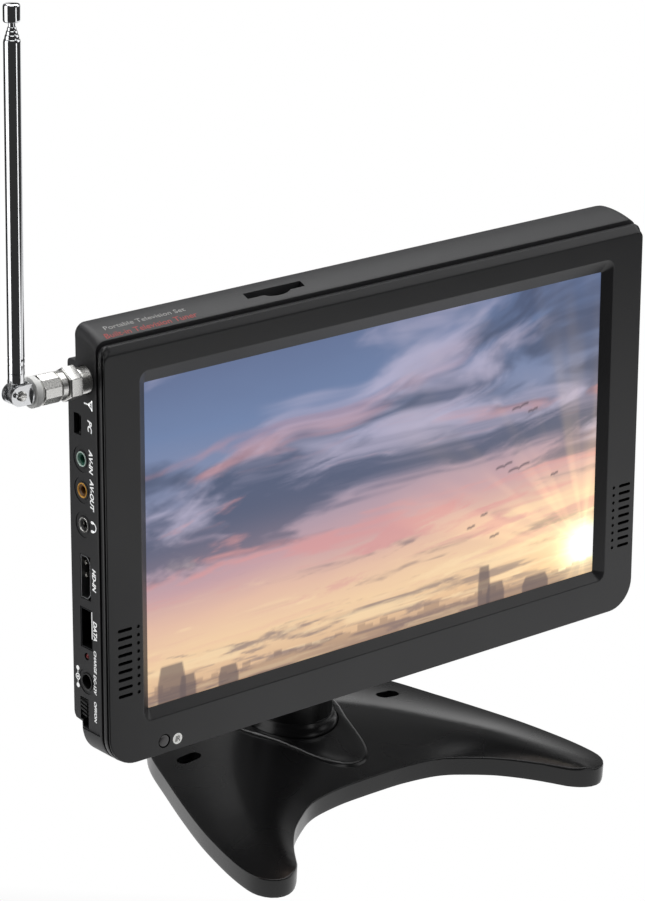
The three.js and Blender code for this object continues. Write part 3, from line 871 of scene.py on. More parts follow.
# Screen inks and the paper dot: flat and opaque, the whites with a painted glow of their own
# colour that stands in for an optical brightening agent.
WHITE_INK = PrintedInk("screen_ink_white_painted_glow", "f4f5f5", 0.6, 0.45)
GREY_INK = PrintedInk("screen_ink_grey", "9d9c9a", 0.6)
RED_INK = PrintedInk("screen_ink_red", "a03a38", 0.6)
PAPER_DOT = PrintedInk("paper_sticker_white_painted_glow", "efefec", 0.7, 0.25)
# Dyed polycarbonate: glassy and nearly black, or deep red.
IR_LENS = TintedLens("polycarbonate_infrared_window", "170f14", 0.1)
LED_LENS = TintedLens("polycarbonate_red_lens", "7c1416", 0.15)
# Polariser over a backlit picture: black where unlit, the picture glowing through it.
DISPLAY = LitDisplay("liquid_crystal_panel_lit", "050506", 0.3, 1.0)


# ---- Pieces --------------------------------------------------------------------------------


def piece(name: str, shape: Shape, finish: Finish, body: str, place: Place = SET,
          replaces: Sequence[str] = (), sharp: float = 32,
          bevel: float = 0.0, segments: int = 2) -> bpy.types.Object:
    """Put a finished shape on its body.

    Args:
        name: the piece's name.
        shape: the shape, in its place's millimetres.
        finish: its surface.
        body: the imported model's body that it rides on.
        place: the frame that it was drawn in.
        replaces: the CAD nodes that it stands for.
        sharp: edges that turn by more degrees than this stay crisp.
        bevel: width of the rounding on crisp edges, in millimetres, or 0.
        segments: steps in that rounding.

    Returns:
        The object.
    """
    mesh = welded(shape, place.world(shape.points), name)
    mesh.shade_smooth()
    mesh.set_sharp_from_angle(angle=math.radians(sharp))
    mesh.materials.append(finish.material())
    o = bpy.data.objects.new(name, mesh)
    bpy.context.scene.collection.objects.link(o)
    if bevel:
        modifier = o.modifiers.new("rounded_edges", "BEVEL")
        modifier.width = bevel * MM
        modifier.segments = segments
        modifier.limit_method = "ANGLE"
        modifier.angle_limit = math.radians(sharp)
        modifier.harden_normals = True
    else:
        modifier = o.modifiers.new("even_shading", "WEIGHTED_NORMAL")
        modifier.keep_sharp = True
    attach(o, body)
    if replaces:
        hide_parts(*replaces)
    return o


# ---- Stand ---------------------------------------------------------------------------------


@dataclass
class StandBase:
    """The boomerang-shaped base with its tongue, its steel floor plate and its feet."""

    post_behind: float = 55.3
    wall_top: float = 8.3
    underside: float = 0.6
    pocket: float = 18.8

    HALF = (
        (0, 4.7), (14.4, 4.4), (27.2, 2.6), (34.5, 0.3), (40.5, -3.2), (49.6, -9.8),
        (55.6, -15.8), (61.2, -22.6), (65.8, -29.4), (68.6, -33.8), (71.6, -36.9),
        (75, -39), (78.5, -39.8), (82, -39.1), (85, -36.8), (87, -33.2), (87.7, -28.6),
        (87.1, -19.7), (85.3, -8.7), (81.3, 8.8), (74.8, 29.7), (68.5, 47.8), (61.5, 66.9),
        (54.5, 78.6), (44.5, 87.4), (32, 93), (17, 96), (0, 96.8),
    )
    TONGUE = (
        (0, -42.2), (4.6, -41.2), (8.6, -37.6), (12.2, -31.4), (14.6, -25), (16.8, -18.2),
        (19.4, -10.6), (23.4, -1.5), (25.5, 7), (24.8, 14), (20, 21), (11, 26), (0, 27.5),
    )
    CREST = (
        (0, 12), (10, 10), (20, 3.6), (28.8, -4.7), (37.5, -14.5), (44.7, -25), (51.5, -35.5),
        (57.9, -46.1), (62.6, -55.7), (65.7, -63.3), (69.1, -72.5), (71.9, -82), (74, -91.7),
        (75.5, -99),
    )
    RISE = ((-100, -80, -50, -20, 0, 30), (0.6, 1.7, 3.0, 3.4, 3.5, 3.5))

    def outline(self) -> Array:
        """The base's outline about the post."""
        half = smooth_line(self.HALF, 110) - np.array([0, self.post_behind])
        return mirrored(half)

    def height(self, xy: Array, outline: Array, tongue: Array) -> Array:
        """Height of the top: wall top + rise from the edge to the crest + swell + tongue.

        With p the share of the way from the crest to the edge, softened near the crest, the
        rise is A (1 - p^2) on the arch's side and A (1 - p)^2 behind the crest, where A
        depends on y. The swell is 1.4 exp(-r^2 / 900), the edge rounds over its last 0.5,
        and the tongue stands 1.1 up at its rim and 0.65 inside it.

        Args:
            xy: rows of x and y.
            outline: the base's outline.
            tongue: the tongue's outline.

        Returns:
            One height a point.
        """
        edge = edge_distance(xy, outline)
        crest = self.crest()
        away = edge_distance(xy, np.concatenate([crest, crest[-2:0:-1]]))
        away = np.hypot(away, 4.0) - 4.0
        arch = inside(xy, np.concatenate([crest, [[140, -250], [-140, -250]]]))
        p = away / (away + edge + 1e-9)
        rise = np.where(arch, 1 - p**2, (1 - p) ** 2) * np.interp(xy[:, 1], *self.RISE)
        swell = 1.4 * np.exp(-(xy**2).sum(1) / 900)
        rim = np.clip(1 - edge / 0.5, 0, 1)
        rounding = -0.5 * (1 - np.sqrt(np.maximum(0, 1 - rim**2)))
        in_tongue = np.where(inside(xy, tongue), edge_distance(xy, tongue), 0)
        lift = 1.1 * np.sin(np.clip(in_tongue / 1.5, 0, 1) * math.pi / 2)
        dish = -0.45 * step(1.8, 7, in_tongue)
        return self.wall_top + rise + swell + rounding + lift + dish

    def crest(self) -> Array:
        """The crest that runs from toe to toe behind the tongue."""
        half = smooth_line(self.CREST, 60)
        return np.concatenate([half[::-1] * [-1, 1], half[1:]])

    def build(self) -> None:
        """Make the base, its plate and its feet."""
        outline = self.outline()
        tongue = mirrored(smooth_line(self.TONGUE, 60))
        a = np.linspace(0, 2 * math.pi, 96, endpoint=False)
        circle = np.stack([np.cos(a), np.sin(a)], 1)
        pocket = circle * self.pocket
        bore = circle * 7.3
        slots = [capsule(5.3, 3.0) + np.array([51 * s, 0.7]) for s in (-1, 1)]
        lines = [drawn_in(outline, m) for m in (0.07, 0.2, 0.36, 0.6)]
        lines += [tongue, *(drawn_in(tongue, m) for m in (0.4, 0.8, 1.5))]
        crest = self.crest()
        run = crest[(crest[:, 1] < -6) & inside(crest, outline)]
        run = run[edge_distance(run, outline) > 2.5]
        sides = [run[run[:, 0] < 0], run[run[:, 0] > 0]]
        net, faces = flat_net(outline, [pocket, *slots], lines, 1.8, sides)
        top = Shape(at_height(net, self.height(net, outline, tongue)), faces)

        ceiling = 6.0
        inner = drawn_in(outline, 2.2)
        under, under_faces = flat_net(inner, [bore, *slots], [], 8.0)
        roof = Shape(at_height(under, ceiling), under_faces)
        edge_z = self.height(outline, outline, tongue)
        draft = drawn_in(outline, 0.25)
        parts = [
            top, roof,
            band(at_height(outline, edge_z), at_height(outline, 2.2)),
            band(at_height(outline, 2.2), at_height(draft, self.underside)),
            band(at_height(draft, self.underside), at_height(inner, self.underside)),
            band(at_height(inner, self.underside), at_height(inner, ceiling)),
            band(at_height(pocket, self.height(pocket, outline, tongue)),
                 at_height(pocket, 10.3)),
            band(at_height(pocket, 10.3), at_height(bore, 10.3)),
            band(at_height(bore, 10.3), at_height(bore, ceiling)),
        ]
        for hole in slots:
            parts.append(band(at_height(hole, self.height(hole, outline, tongue)),
                              at_height(hole, ceiling)))
        piece("stand_base", together(parts), STAND_ABS, Body.BASE.value, ROW,
              ["base_shell"], sharp=38)
        plate = drawn_in(outline, 3)
        piece("stand_floor_plate", prism(plate, 1.2, 4.2), STEEL, Body.BASE.value, ROW,
              ["base_plate"], bevel=0.3)
        for spot in ("centre", "tip_left", "tip_right", "back_left", "back_right"):
            low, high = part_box(f"foot_{spot}")
            x, y = ((low + high) / 2 / MM)[:2]
            r = (high.x - low.x) / 2 / MM
            pad = turned([(0, 0), (r - 0.3, 0), (r, 0.25), (r, 0.9), (0, 0.9)], 40)
            piece(f"stand_foot_{spot}", pad.moved(x, y), RUBBER, Body.BASE.value, ROW,
                  [f"foot_{spot}"])


@dataclass
class StandColumn:
    """The swivelling post with its flared foot, hinge ears, bolt and nut."""

    hinge: tuple[float, float] = (2.0, 104.0)

    def build(self) -> None:
        """Make the post and its fastenings."""
        profile = [
            (0, 86), (13.5, 86), (13.5, 21), (4.5, 17), (4.5, 4.6), (6.9, 4.6), (6.9, 10.6),
            (18, 10.6), (18.3, 10.7), (18.4, 11), (18.4, 13.2), (18.25, 13.9), (17.7, 14.8),
            (17.1, 15.7), (16.7, 16.6), (16.5, 17.5), (16.4, 17.7), (16.1, 17.75),
            (16, 17.9), (16, 89.9),
            (16.3, 91.2), (15.6, 91.8), (14.8, 92), (0, 92),
        ]
        y, z = self.hinge
        a = np.linspace(0, math.pi, 25)
        ear = np.concatenate([
            np.stack([y + 9.5 * np.cos(a), z + 9.5 * np.sin(a)], 1),
            [[y - 9.5, 88], [y + 9.5, 88]],
        ])
        ears = [prism(ear, *x, plane="yz") for x in ((-15.2, -7.8), (7.8, 15.2))]
        bore = turned([(0, -30), (3.2, -30), (3.2, 30), (0, 30)], 32).laid("x").moved(0, y, z)
        post = carve(turned(profile, 96), ears, [bore])
        piece("stand_post", post, STAND_ABS, Body.COLUMN.value, ROW, ["post"],
              bevel=0.4)
        washer = turned([(7.2, 4.7), (12, 4.7), (12, 5.6), (7.2, 5.6)], 48)
        piece("stand_swivel_washer", washer, STEEL, Body.COLUMN.value, ROW,
              ["swivel_washer"])
        bolt = turned([(0, -18.8), (4.6, -18.8), (5.2, -18.2), (5.2, -15.5), (2.9, -15.5),
                       (2.9, 19.6), (2.5, 20), (0, 20)], 40).laid("x")
        hexagon = turned([(0, -18.9), (2.6, -18.9), (2.6, -17), (0, -17)], 6).laid("x")
        piece("stand_tilt_bolt", carve(bolt, [], [hexagon]).moved(0, y, z), STEEL,
              Body.COLUMN.value, ROW, ["tilt_bolt"])
        nut = turned([(3.2, 15.5), (5.2, 15.5), (5.2, 18.5), (4.9, 18.9), (3.2, 18.9)], 6)
        piece("stand_tilt_nut", nut.laid("x").moved(0, y, z), STEEL, Body.COLUMN.value, ROW,
              ["tilt_nut"])


@dataclass
class TiltBracket:
    """The plate and arm behind the case that hang it on the tilt hinge."""

    y0: float = 20.1
    y1: float = 23.1
    hinge: tuple[float, float] = (49.9, -23.9)

    def build(self) -> None:
        """Make the bracket and its screws."""
        hy, hz = self.hinge
        plate = loft(stacked([
            (self.y0, 28, -52, 4, 5, 5), (self.y1 - 0.6, 28, -52, 4, 5, 5),
            (self.y1, 27.4, -51.4, 3.4, 4.4, 4.4)]))
        arm = block(-7.4, 7.4, self.y1 - 1, hy - 4, hz - 6, hz + 6)
        rib = block(-2.5, 2.5, self.y1 - 1, self.y1 + 9, hz - 8, hz + 22)
        bore = turned([(0, -9), (3.2, -9), (3.2, 9), (0, 9)], 32).laid("x").moved(0, hy, hz)
        disc = turned([(0, -7.4), (8.5, -7.4), (9, -6.9), (9, 6.9), (8.5, 7.4), (0, 7.4)], 56)
        spots = [(-21, -45), (21, -45), (-21, -3), (21, -3)]
        holes = [turned([(0, self.y0 - 1), (2, self.y0 - 1), (2, self.y1 + 1),
                         (0, self.y1 + 1)], 24).laid("y").moved(x, 0, z) for x, z in spots]
        bracket = carve(plate, [arm, rib, disc.laid("x").moved(0, hy, hz)], [bore, *holes])
        piece("tilt_bracket_arm", bracket, STAND_ABS, Body.SET.value, SET,
              ["tilt_bracket"], bevel=0.5)
        for i, (x, z) in enumerate(spots):
            f = self.y1
            head = turned([(0, 15.8), (1.6, 15.8), (1.6, f + 0.3), (3.6, f + 0.3),
                           (3.5, f + 1.2), (3, f + 1.8), (2, f + 2.15), (0, f + 2.2)], 32)
            cross = [block(-2.1, 2.1, f + 1.1, f + 4, -0.4, 0.4),
                     block(-0.4, 0.4, f + 1.1, f + 4, -2.1, 2.1)]
            screw = carve(head.laid("y"), [], [carve(cross[0], [cross[1]])])
            piece(f"tilt_bracket_screw_{i + 1}", screw.moved(x, 0, z), STEEL,
                  Body.SET.value, SET, [f"bracket_screw_{i + 1}"])


# ---- Set -----------------------------------------------------------------------------------


@dataclass
class FrontBezel:
    """The front frame: flat border, sloped surround, speaker slots and remote window."""

    half: float = 131.0
    first_slot: float = -28.0
    slot_step: float = 3.2
    rows: int = 9

    def frame_shape(self) -> Shape:
        """The frame as rings running from its back edge over the face and into the rebate.

        Returns:
            A closed ring-shaped body.
        """
        h = self.half
        return loft(stacked([
            (0.7, h - 0.4, -81, 79, 11.6, 3.2), (0.45, h - 0.08, -81.3, 79.4, 11.9, 3.5),
            (-0.2, h, -81.4, 79.5, 12, 3.6), (-0.9, h - 0.02, -81.38, 79.4, 12, 3.6),
            (-1.3, h - 0.15, -81.25, 79, 11.9, 3.5), (-1.38, h - 0.75, -80.65, 78.9, 11.4, 3.2),
            (-2.4, h - 0.75, -80.65, 77.35, 11.4, 3), (-2.46, h - 0.12, -81.2, 77.2, 11.9, 3),
            (-2.75, h - 0.15, -81.15, 76.75, 11.9, 2.8),
            (-2.93, h - 0.35, -80.95, 76.35, 11.7, 2.6), (-3, h - 0.7, -80.6, 75.9, 11.4, 2.4),
            (-3, 115.75, -66.65, 68.25, 4.1, 4.1), (-2.94, 115.45, -66.35, 67.95, 3.8, 3.8),
            (-2.8, 115.2, -66.1, 67.7, 3.6, 3.6),
            (0, 111.35, -62.65, 62.65, 0.5, 0.5), (0.1, 111.5, -62.8, 62.8, 0.5, 0.5),
            (0.1, 118.2, -72, 72, 0.5, 0.5), (0.7, 118.2, -72, 72, 0.5, 0.5),
        ]), wrap=True)

    def build(self) -> None:
        """Make the frame, the cloth behind its slots, the window and the paper dot."""
        cutters = []
        for row in range(self.rows):
            z = self.first_slot - self.slot_step * row
            for x0, x1 in ((-126.7, -120.3), (122, 128.2)):
                slot = capsule((x1 - x0) / 2, 0.62, 5) + np.array([(x0 + x1) / 2, z])
                cutters.append(prism(slot, -4, 2, "xz"))
            for x in (-117.5, 119.2):
                dot = capsule(0.7, 0.7, 4) + np.array([x, z])
                cutters.append(prism(dot, -4, -2.3, "xz"))
        cutters.append(prism(capsule(2.7, 2.7, 8) + np.array([-106.3, -76.2]), -4, 2, "xz"))
        body = carve(self.frame_shape(), [], cutters)
        piece("bezel_frame", body, BEZEL_ABS, Body.SET.value, SET, ["front_bezel"],
              sharp=24)
        window = turned([(0, -2.75), (1.6, -2.8), (2.2, -2.7), (2.45, -2.4), (2.45, 1.8),
                         (0, 1.8)], 40).laid("y").moved(-106.3, 0, -76.2)
        piece("bezel_remote_window", window, IR_LENS, Body.SET.value, SET,
              ["ir_window"])
        dot = turned([(0, -3.06), (2.1, -3.06), (2.15, -3.02), (0, -3.02)], 40).laid("y")
        piece("bezel_paper_dot", dot.moved(-100.3, 0, -76.8), PAPER_DOT, Body.SET.value, SET)
        word = lettering("IR", 2.1, 0.2, 0.08, 0.9)
        word = Shape(np.stack([word.points[:, 0] - 100.3, -3.09 - word.points[:, 2],
                               word.points[:, 1] - 76.8], 1), word.faces)
        piece("bezel_paper_dot_word", word, GREY_INK, Body.SET.value, SET)
        lip = loft(stacked([
            (0.5, 130, -80.4, 78.2, 11, 3), (2.6, 130, -80.4, 78.8, 11, 3),
            (2.6, 128.9, -79.3, 77.7, 10, 2.4), (0.5, 128.9, -79.3, 77.1, 10, 2.4)]),
            wrap=True)
        piece("case_seam_lip", lip, INNER_ABS, Body.SET.value, SET)
        for side, x in (("left", -123.4), ("right", 123.4)):
            cone = loft(stacked([(0.85, 4.9, -56, -26, 2, 2), (0.95, 4.9, -56, -26, 2, 2)]))
            piece(f"speaker_cloth_{side}", cone.moved(x), SPEAKER_CLOTH, Body.SET.value, SET)
            frame_ring = loft(stacked([(1, 4.9, -56, -26, 2, 2), (3.6, 4.9, -56, -26, 2, 2),
                                       (4.9, 3.4, -51, -31, 3, 3)]))
            piece(f"speaker_unit_{side}", frame_ring.moved(x), INSULATOR, Body.SET.value,
                  SET, [f"speaker_{side}"])


def value_noise(x: Array, y: Array, seed: int, octaves: int = 5) -> Array:
    """Lattice noise, each octave twice as fine and 0.55 as strong as the one before.

    Between lattice points the value follows 3 t^2 - 2 t^3 along each axis.

    Args:
        x: first coordinate of each point, in cells of the coarsest octave.
        y: second coordinate.
        seed: picks the lattice.
        octaves: how many sizes there are.

    Returns:
        Noise from 0 to 1, near 0.5 on average.
    """
    grid = np.random.default_rng(seed).random((64, 64))
    total, weight = np.zeros_like(x), 0.0
    for k in range(octaves):
        px, py = x * 2.0**k + 7.3 * k, y * 2.0**k + 3.1 * k
        i, j = np.floor(px).astype(int), np.floor(py).astype(int)
        s, t = px - i, py - j
        s, t = s * s * (3 - 2 * s), t * t * (3 - 2 * t)
        low = grid[i % 64, j % 64] * (1 - s) + grid[(i + 1) % 64, j % 64] * s
        high = grid[i % 64, (j + 1) % 64] * (1 - s) + grid[(i + 1) % 64, (j + 1) % 64] * s
        total += 0.55**k * (low * (1 - t) + high * t)
        weight += 0.55**k
    return total / weight


def step(low: float | Array, high: float | Array, value: Array) -> Array:
    """A smooth step from 0 at low to 1 at high: 3 t^2 - 2 t^3."""
    t = np.clip((value - low) / (high - low), 0, 1)
    return t * t * (3 - 2 * t)


@dataclass
class DisplayModule:
    """The display panel, with an evening sky over a far city as its picture."""

    width: float = 222.7
    height: float = 125.3
    columns: int = 400
    rows: int = 224

    def sky(self, u: Array, v: Array) -> Array:
        """The picture's colour at each point.

        The sky runs from slate blue through mauve to peach above a low sun. Its clouds are
        noise over a plane that shrinks towards the horizon as 1 / (v + 0.22), bent by a
        second noise. Birds and a hazy row of towers are laid over it.

        Args:
            u: 0 at the left to 1 at the right.
            v: 0 at the foot to 1 at the top.

        Returns:
            Linear red, green and blue of each point.
        """
        def over(colour: Array, code: str, mask: Array) -> Array:
            """A colour laid over the picture by a mask: c + mask (code - c)."""
            return colour + mask[..., None] * (np.array(linear(code)[:3]) - colour)

        stops = [
            (0.00, "b89a86"), (0.05, "dcb996"), (0.14, "efcfa9"), (0.26, "e2bda8"),
            (0.38, "c7a3a8"), (0.52, "a197ab"), (0.66, "8790ae"), (0.82, "7286ab"),
            (1.00, "68789b"),
        ]
        at = np.array([s for s, _ in stops])
        tone = np.array([linear(c)[:3] for _, c in stops])
        far = 1 / (v + 0.22)
        x, y = (u - 0.95) * far * 1.5 + 9, far * 3.1 + 0.8 * (u - 0.95) * far
        bend = value_noise(x * 0.8, y * 0.8, 5, 4) - 0.5
        x, y = x + 1.6 * bend, y + 1.1 * bend
        lift = v + 0.1 * (value_noise(u * 3, v * 5, 3, 4) - 0.5) + 0.06 * (0.5 - u)
        colour = np.stack([np.interp(lift, at, tone[:, k]) for k in range(3)], -1)
        dark = value_noise(x * 1.1, y * 1.3, 17, 6)
        colour = over(colour, "4f5b78", step(0.48, 0.66, dark) * step(0.2, 0.55, v) * 0.95)
        colour = over(colour, "726570", step(0.5, 0.68, dark) * step(0.6, 0.2, v) * 0.65)
        pale = value_noise(x * 1.4 + 3, y * 1.5, 29, 6)
        colour = over(colour, "c3bcd3", step(0.54, 0.74, pale) * step(0.3, 0.55, v) * 0.7)
        colour = over(colour, "f6dcb4", step(0.52, 0.72, pale) * step(0.55, 0.15, v) * 0.6)
        pink = value_noise(x * 1.2, y * 2.0 + 5, 41, 6)
        colour = over(colour, "d79c9c", step(0.54, 0.7, pink) * step(0.08, 0.3, v)
                      * step(0.95, 0.5, v) * 0.75)
        across, up = (u - 0.975) * 1.78, v - 0.1
        away = np.hypot(across, up)
        ray = value_noise(np.arctan2(up, -across) * 5, away * 1.5, 53, 3)
        colour += (np.exp(-((away / 0.075) ** 2))[..., None] * np.array([1.3, 1.2, 0.8])
                   + np.exp(-away / 0.16)[..., None] * np.array([0.65, 0.5, 0.22])
                   + (step(0.4, 0.75, ray) * np.exp(-away / 0.45))[..., None]
                   * np.array([0.3, 0.2, 0.08]))
        cell = np.floor(u * 60)
        tall = np.modf(np.abs(np.sin(cell * 12.9898) * 43758.5453))[0]
        roof = 0.035 + 0.028 * tall**2
        colour = over(colour, "8d7468", step(0.004, -0.004, v - roof) * 0.45)
        towers = ((0.052, 0.028, 0.115), (0.085, 0.016, 0.07), (0.17, 0.02, 0.06),
                  (0.738, 0.013, 0.13), (0.765, 0.02, 0.065), (0.86, 0.03, 0.05))
        for centre, half, top in towers:
            side = np.abs(u - centre) - half * np.clip(1.25 - v / top * 0.5, 0.6, 1)
            mask = step(0.003, -0.001, side) * step(0.004, -0.004, v - top)
            colour = over(colour, "6b5c5c", mask * 0.75)
        birds = ((0.815, 0.62, 0.02), (0.845, 0.6, 0.012), (0.78, 0.44, 0.02),
                 (0.815, 0.42, 0.026), (0.705, 0.27, 0.01), (0.76, 0.22, 0.011),
                 (0.735, 0.3, 0.008), (0.9, 0.37, 0.009))
        for cx, cy, span in birds:
            a = (u - cx) / span
            wing = cy + span * (0.55 * np.sqrt(np.abs(a) + 0.02) - 0.35 * a * a + 0.25 * a)
            mask = step(0.007, 0.0, np.abs(v - wing)) * step(1.05, 0.85, np.abs(a))
            colour = over(colour, "4e4550", mask * 0.75)
        return np.clip(colour, 0, 1) ** 1.12

    def build(self) -> None:
        """Make the panel's lit face and its tin back."""
        u, v = np.meshgrid(np.linspace(0, 1, self.columns + 1), np.linspace(0, 1, self.rows + 1))
        x, z = (u - 0.5) * self.width * 1.004, (v - 0.5) * self.height * 1.006
        points = np.stack([x, np.full_like(x, 0.3), z], -1).reshape(-1, 3)
        n = self.columns + 1
        i, j = np.meshgrid(np.arange(self.columns), np.arange(self.rows))
        k = j * n + i
        quads = np.stack([k, k + 1, k + n + 1, k + n], -1).reshape(-1, 4)
        mesh = bpy.data.meshes.new("display_picture")
        mesh.from_pydata(SET.world(points).tolist(), [], quads.tolist())
        paint = mesh.attributes.new("picture", "FLOAT_COLOR", "POINT")
        colour = np.ones((len(points), 4), np.float32)
        colour[:, :3] = np.clip(self.sky(u, v), 0, 1).reshape(-1, 3)
        paint.data.foreach_set("color", colour.ravel())
        mesh.materials.append(DISPLAY.material())
        face = bpy.data.objects.new("display_picture", mesh)
        bpy.context.scene.collection.objects.link(face)
        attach(face, Body.SET.value)
        case = loft(stacked([
            (0.45, 117.4, -71.2, 71.2, 0.4, 0.4), (0.5, 117.7, -71.5, 71.5, 0.6, 0.6),
            (4.3, 117.7, -71.5, 71.5, 0.6, 0.6)]))
        piece("display_tin_back", case, TINPLATE, Body.SET.value, SET,
              ["lcd_panel"])


@dataclass
class RearShell:
    """The rear case, its port recess and openings, print and card reader."""

    half: float = 131.0
    recess: float = 0.5

    PORTS = {
        "pc": (14.1, 47.5), "av_in": (12.1, 34.7), "av_out": (11.9, 22.9),
        "phones": (11.5, 9.9), "hd": (11, -10.2), "data": (10.9, -30), "led": (11.1, -41),
        "power": (11.3, -50.9), "toggle": (13.2, -63.6),
    }

    def crown(self, y: float | Array) -> float | Array:
        """Height of the crowned top: 84.9 - 4.6 (1 - (y - 1) / 13) ^ 1.7."""
        return 84.9 - 4.6 * np.clip(1 - (np.asarray(y) - 1) / 13, 0, 1) ** 1.7

    def through_left(self, flat: Array, spot: str, x0: float = -136, x1: float = -125) -> Shape:
        """A cutter through the left wall."""
        return prism(flat + np.array(self.PORTS[spot]), x0, x1, "yz")

    def build(self) -> None:
        """Make the shell, its print and the card reader."""
        h = self.half
        front = [(1.75, h - 0.55, -80.85, self.crown(1.75) - 0.7, 11.5, 3.6),
                 (1.85, h - 0.12, -81.28, self.crown(1.85) - 0.15, 11.9, 3.9)]
        sides = [(y, h, -81.4, self.crown(y), 12, 4 + 0.45 * (y - 1), 4)
                 for y in (2.2, 3, 4, 5.2, 6.6, 8, 9.6, 11.2, 12.6, 13.6)]
        back = [(14.3, h - 0.25, -81.1, 84.75, 12.3, 10, 4.1),
                (15, h - 0.85, -80.3, 84.2, 12.1, 9.8, 4.2),
                (15.4, h - 1.6, -79.4, 83.4, 11.5, 9.4, 4.1),
                (15.6, h - 2.6, -78.4, 82.4, 11, 9, 4)]
        outer = loft(stacked([s if len(s) == 7 else (*s, s[5]) for s in front + sides + back],
                             14))
        hump = loft(stacked([
            (12, h - 0.01, -68, 71, 1, 1), (18.4, h - 0.01, -67.2, 71, 1, 1),
            (19.2, h - 0.2, -66.2, 70.7, 1, 1), (19.65, h - 0.6, -65.5, 70.2, 1, 1),
            (19.8, h - 1.2, -64.8, 69.6, 1, 1)]))
        w = h - 2.2
        cavity = loft(stacked([(0, w, -79.2, 77.6, 10, 3, 3), (13.3, w, -79, 82.4, 10.4, 8, 4)]))
        deep = block(-w, w, 12, 17.6, -66, 69.4)
        edge = np.array([[3, -70], [30, -70], [30, 79.8], [15, 79.8], [8, 77.7], [5, 76],
                         [3.6, 73.8], [3, 71]], float)
        cuts = [
            prism(edge, -h - 3, -h + self.recess, "yz"),
            prism(capsule(5.3, 5.3) + np.array([9.6, 65.1]), -136, -125, "yz"),
            self.through_left(np.array([[-2.2, -3.8], [-2, -4], [2, -4], [2.2, -3.8], [2.2, 3.8],
                                        [2, 4], [-2, 4], [-2.2, 3.8]]), "pc"),
            self.through_left(np.array([[-3.1, -8.5], [3.1, -8.5], [3.1, 8.5], [-3.1, 8.5]]),
                              "hd"),
            self.through_left(np.array([[-3.7, -7.9], [3.7, -7.9], [3.7, 7.9], [-3.7, 7.9]]),
                              "data"),
            self.through_left(capsule(1.4, 1.4), "led"),
            self.through_left(np.array([[-2.6, -5.8], [0.9, -5.8], [0.9, -3.1], [2.35, -3.1],
                                        [2.35, 5.8], [-2.6, 5.8]]), "toggle"),
        ]
        for spot in ("av_in", "av_out", "phones", "power"):
            cuts.append(self.through_left(capsule(3.5, 3.5), spot))
            cuts.append(self.through_left(capsule(4.9, 4.9, 10), spot, -136,
                                          -h + self.recess + 0.3))
        cuts.append(block(-60.2, -33.5, 5.4, 8.5, 70, 90))
        a = np.linspace(-math.pi / 2, math.pi / 2, 15)
        scoop = turned(np.stack([np.cos(a), np.sin(a)], 1).tolist(), 40)
        scoop.points *= np.array([7.2, 2.6, 3.2])
        cuts.append(scoop.moved(-46.4, 5.8, 84.2))
        for i in range(7):
            key = capsule(1.8, 3.8) + np.array([8.6, 48 - 11 * i])
            cuts.append(prism(key, 125, 135, "yz"))
        for x, z in ((-21, -45), (21, -45), (-21, -3), (21, -3)):
            cuts.append(turned([(0, 15), (1.9, 15), (1.9, 25), (0, 25)], 20).laid("y")
                        .moved(x, 0, z))
        for row in range(7):
            for x0 in (-104, 62):
                vent = capsule(21, 0.9, 5) + np.array([x0 + 21, 52 - 4.4 * row])
                cuts.append(prism(vent, 16, 21, "xz"))
        for x in (-118, 118):
            for z in (-74, 60):
                depth = 19.0 if z > 0 else 14.8
                cuts.append(turned([(0, depth), (3.2, depth), (3.2, 25), (0, 25)], 28)
                            .laid("y").moved(x, 0, z))
        shell = carve(outer, [hump], [cavity, deep])
        shell = carve(shell, [], cuts)
        piece("case_rear_shell", shell, CASE_ABS, Body.SET.value, SET,
              ["rear_shell"], sharp=24)
        self.print_top()
        reader = carve(block(-61.7, -32, 4.6, 8.8, 59, 78), [],
                       [block(-59.2, -34.5, 5.7, 8.1, 61.5, 90)])
        housing = block(-125.9, -122, 10, 15.3, -70, -57)
        piece("power_switch_housing", housing, INNER_ABS, Body.SET.value, SET, bevel=0.2)
        piece("card_reader_shield", reader, TINPLATE, Body.SET.value, SET,
              ["card_reader"], bevel=0.2)

    def print_top(self) -> None:
        """Print the two lines on the top of the case, following its slope."""
        def on_top(flat: Shape, x: float, y: float, length: float) -> Shape:
            """Print laid on the crown along its left part.

            Args:
                flat: the print, X along it.
                x: where its centre is across the set.
                y: where its centre is from front to back.
                length: how long it comes out.

            Returns:
                The laid print.
            """
            flat, turn = fitted(flat, length), 0.015
            c, s = math.cos(turn), math.sin(turn)
            px = x + flat.points[:, 0] * c - flat.points[:, 1] * s
            py = y + flat.points[:, 0] * s + flat.points[:, 1] * c
            pz = self.crown(py) + 0.03 + flat.points[:, 2]
            return Shape(np.stack([px, py, pz], 1), flat.faces)

        red = lettering("Built-in Television Tuner", 2.1, 0.0, 0.02, 1.0)
        piece("print_top_red", on_top(red, -105.2, 3.6, 41), RED_INK, Body.SET.value, SET)
        grey = lettering("Portable Television Set", 1.9, 0.0, 0.0, 1.0)
        piece("print_top_grey", on_top(grey, -105.5, 7.2, 36), GREY_INK, Body.SET.value, SET)


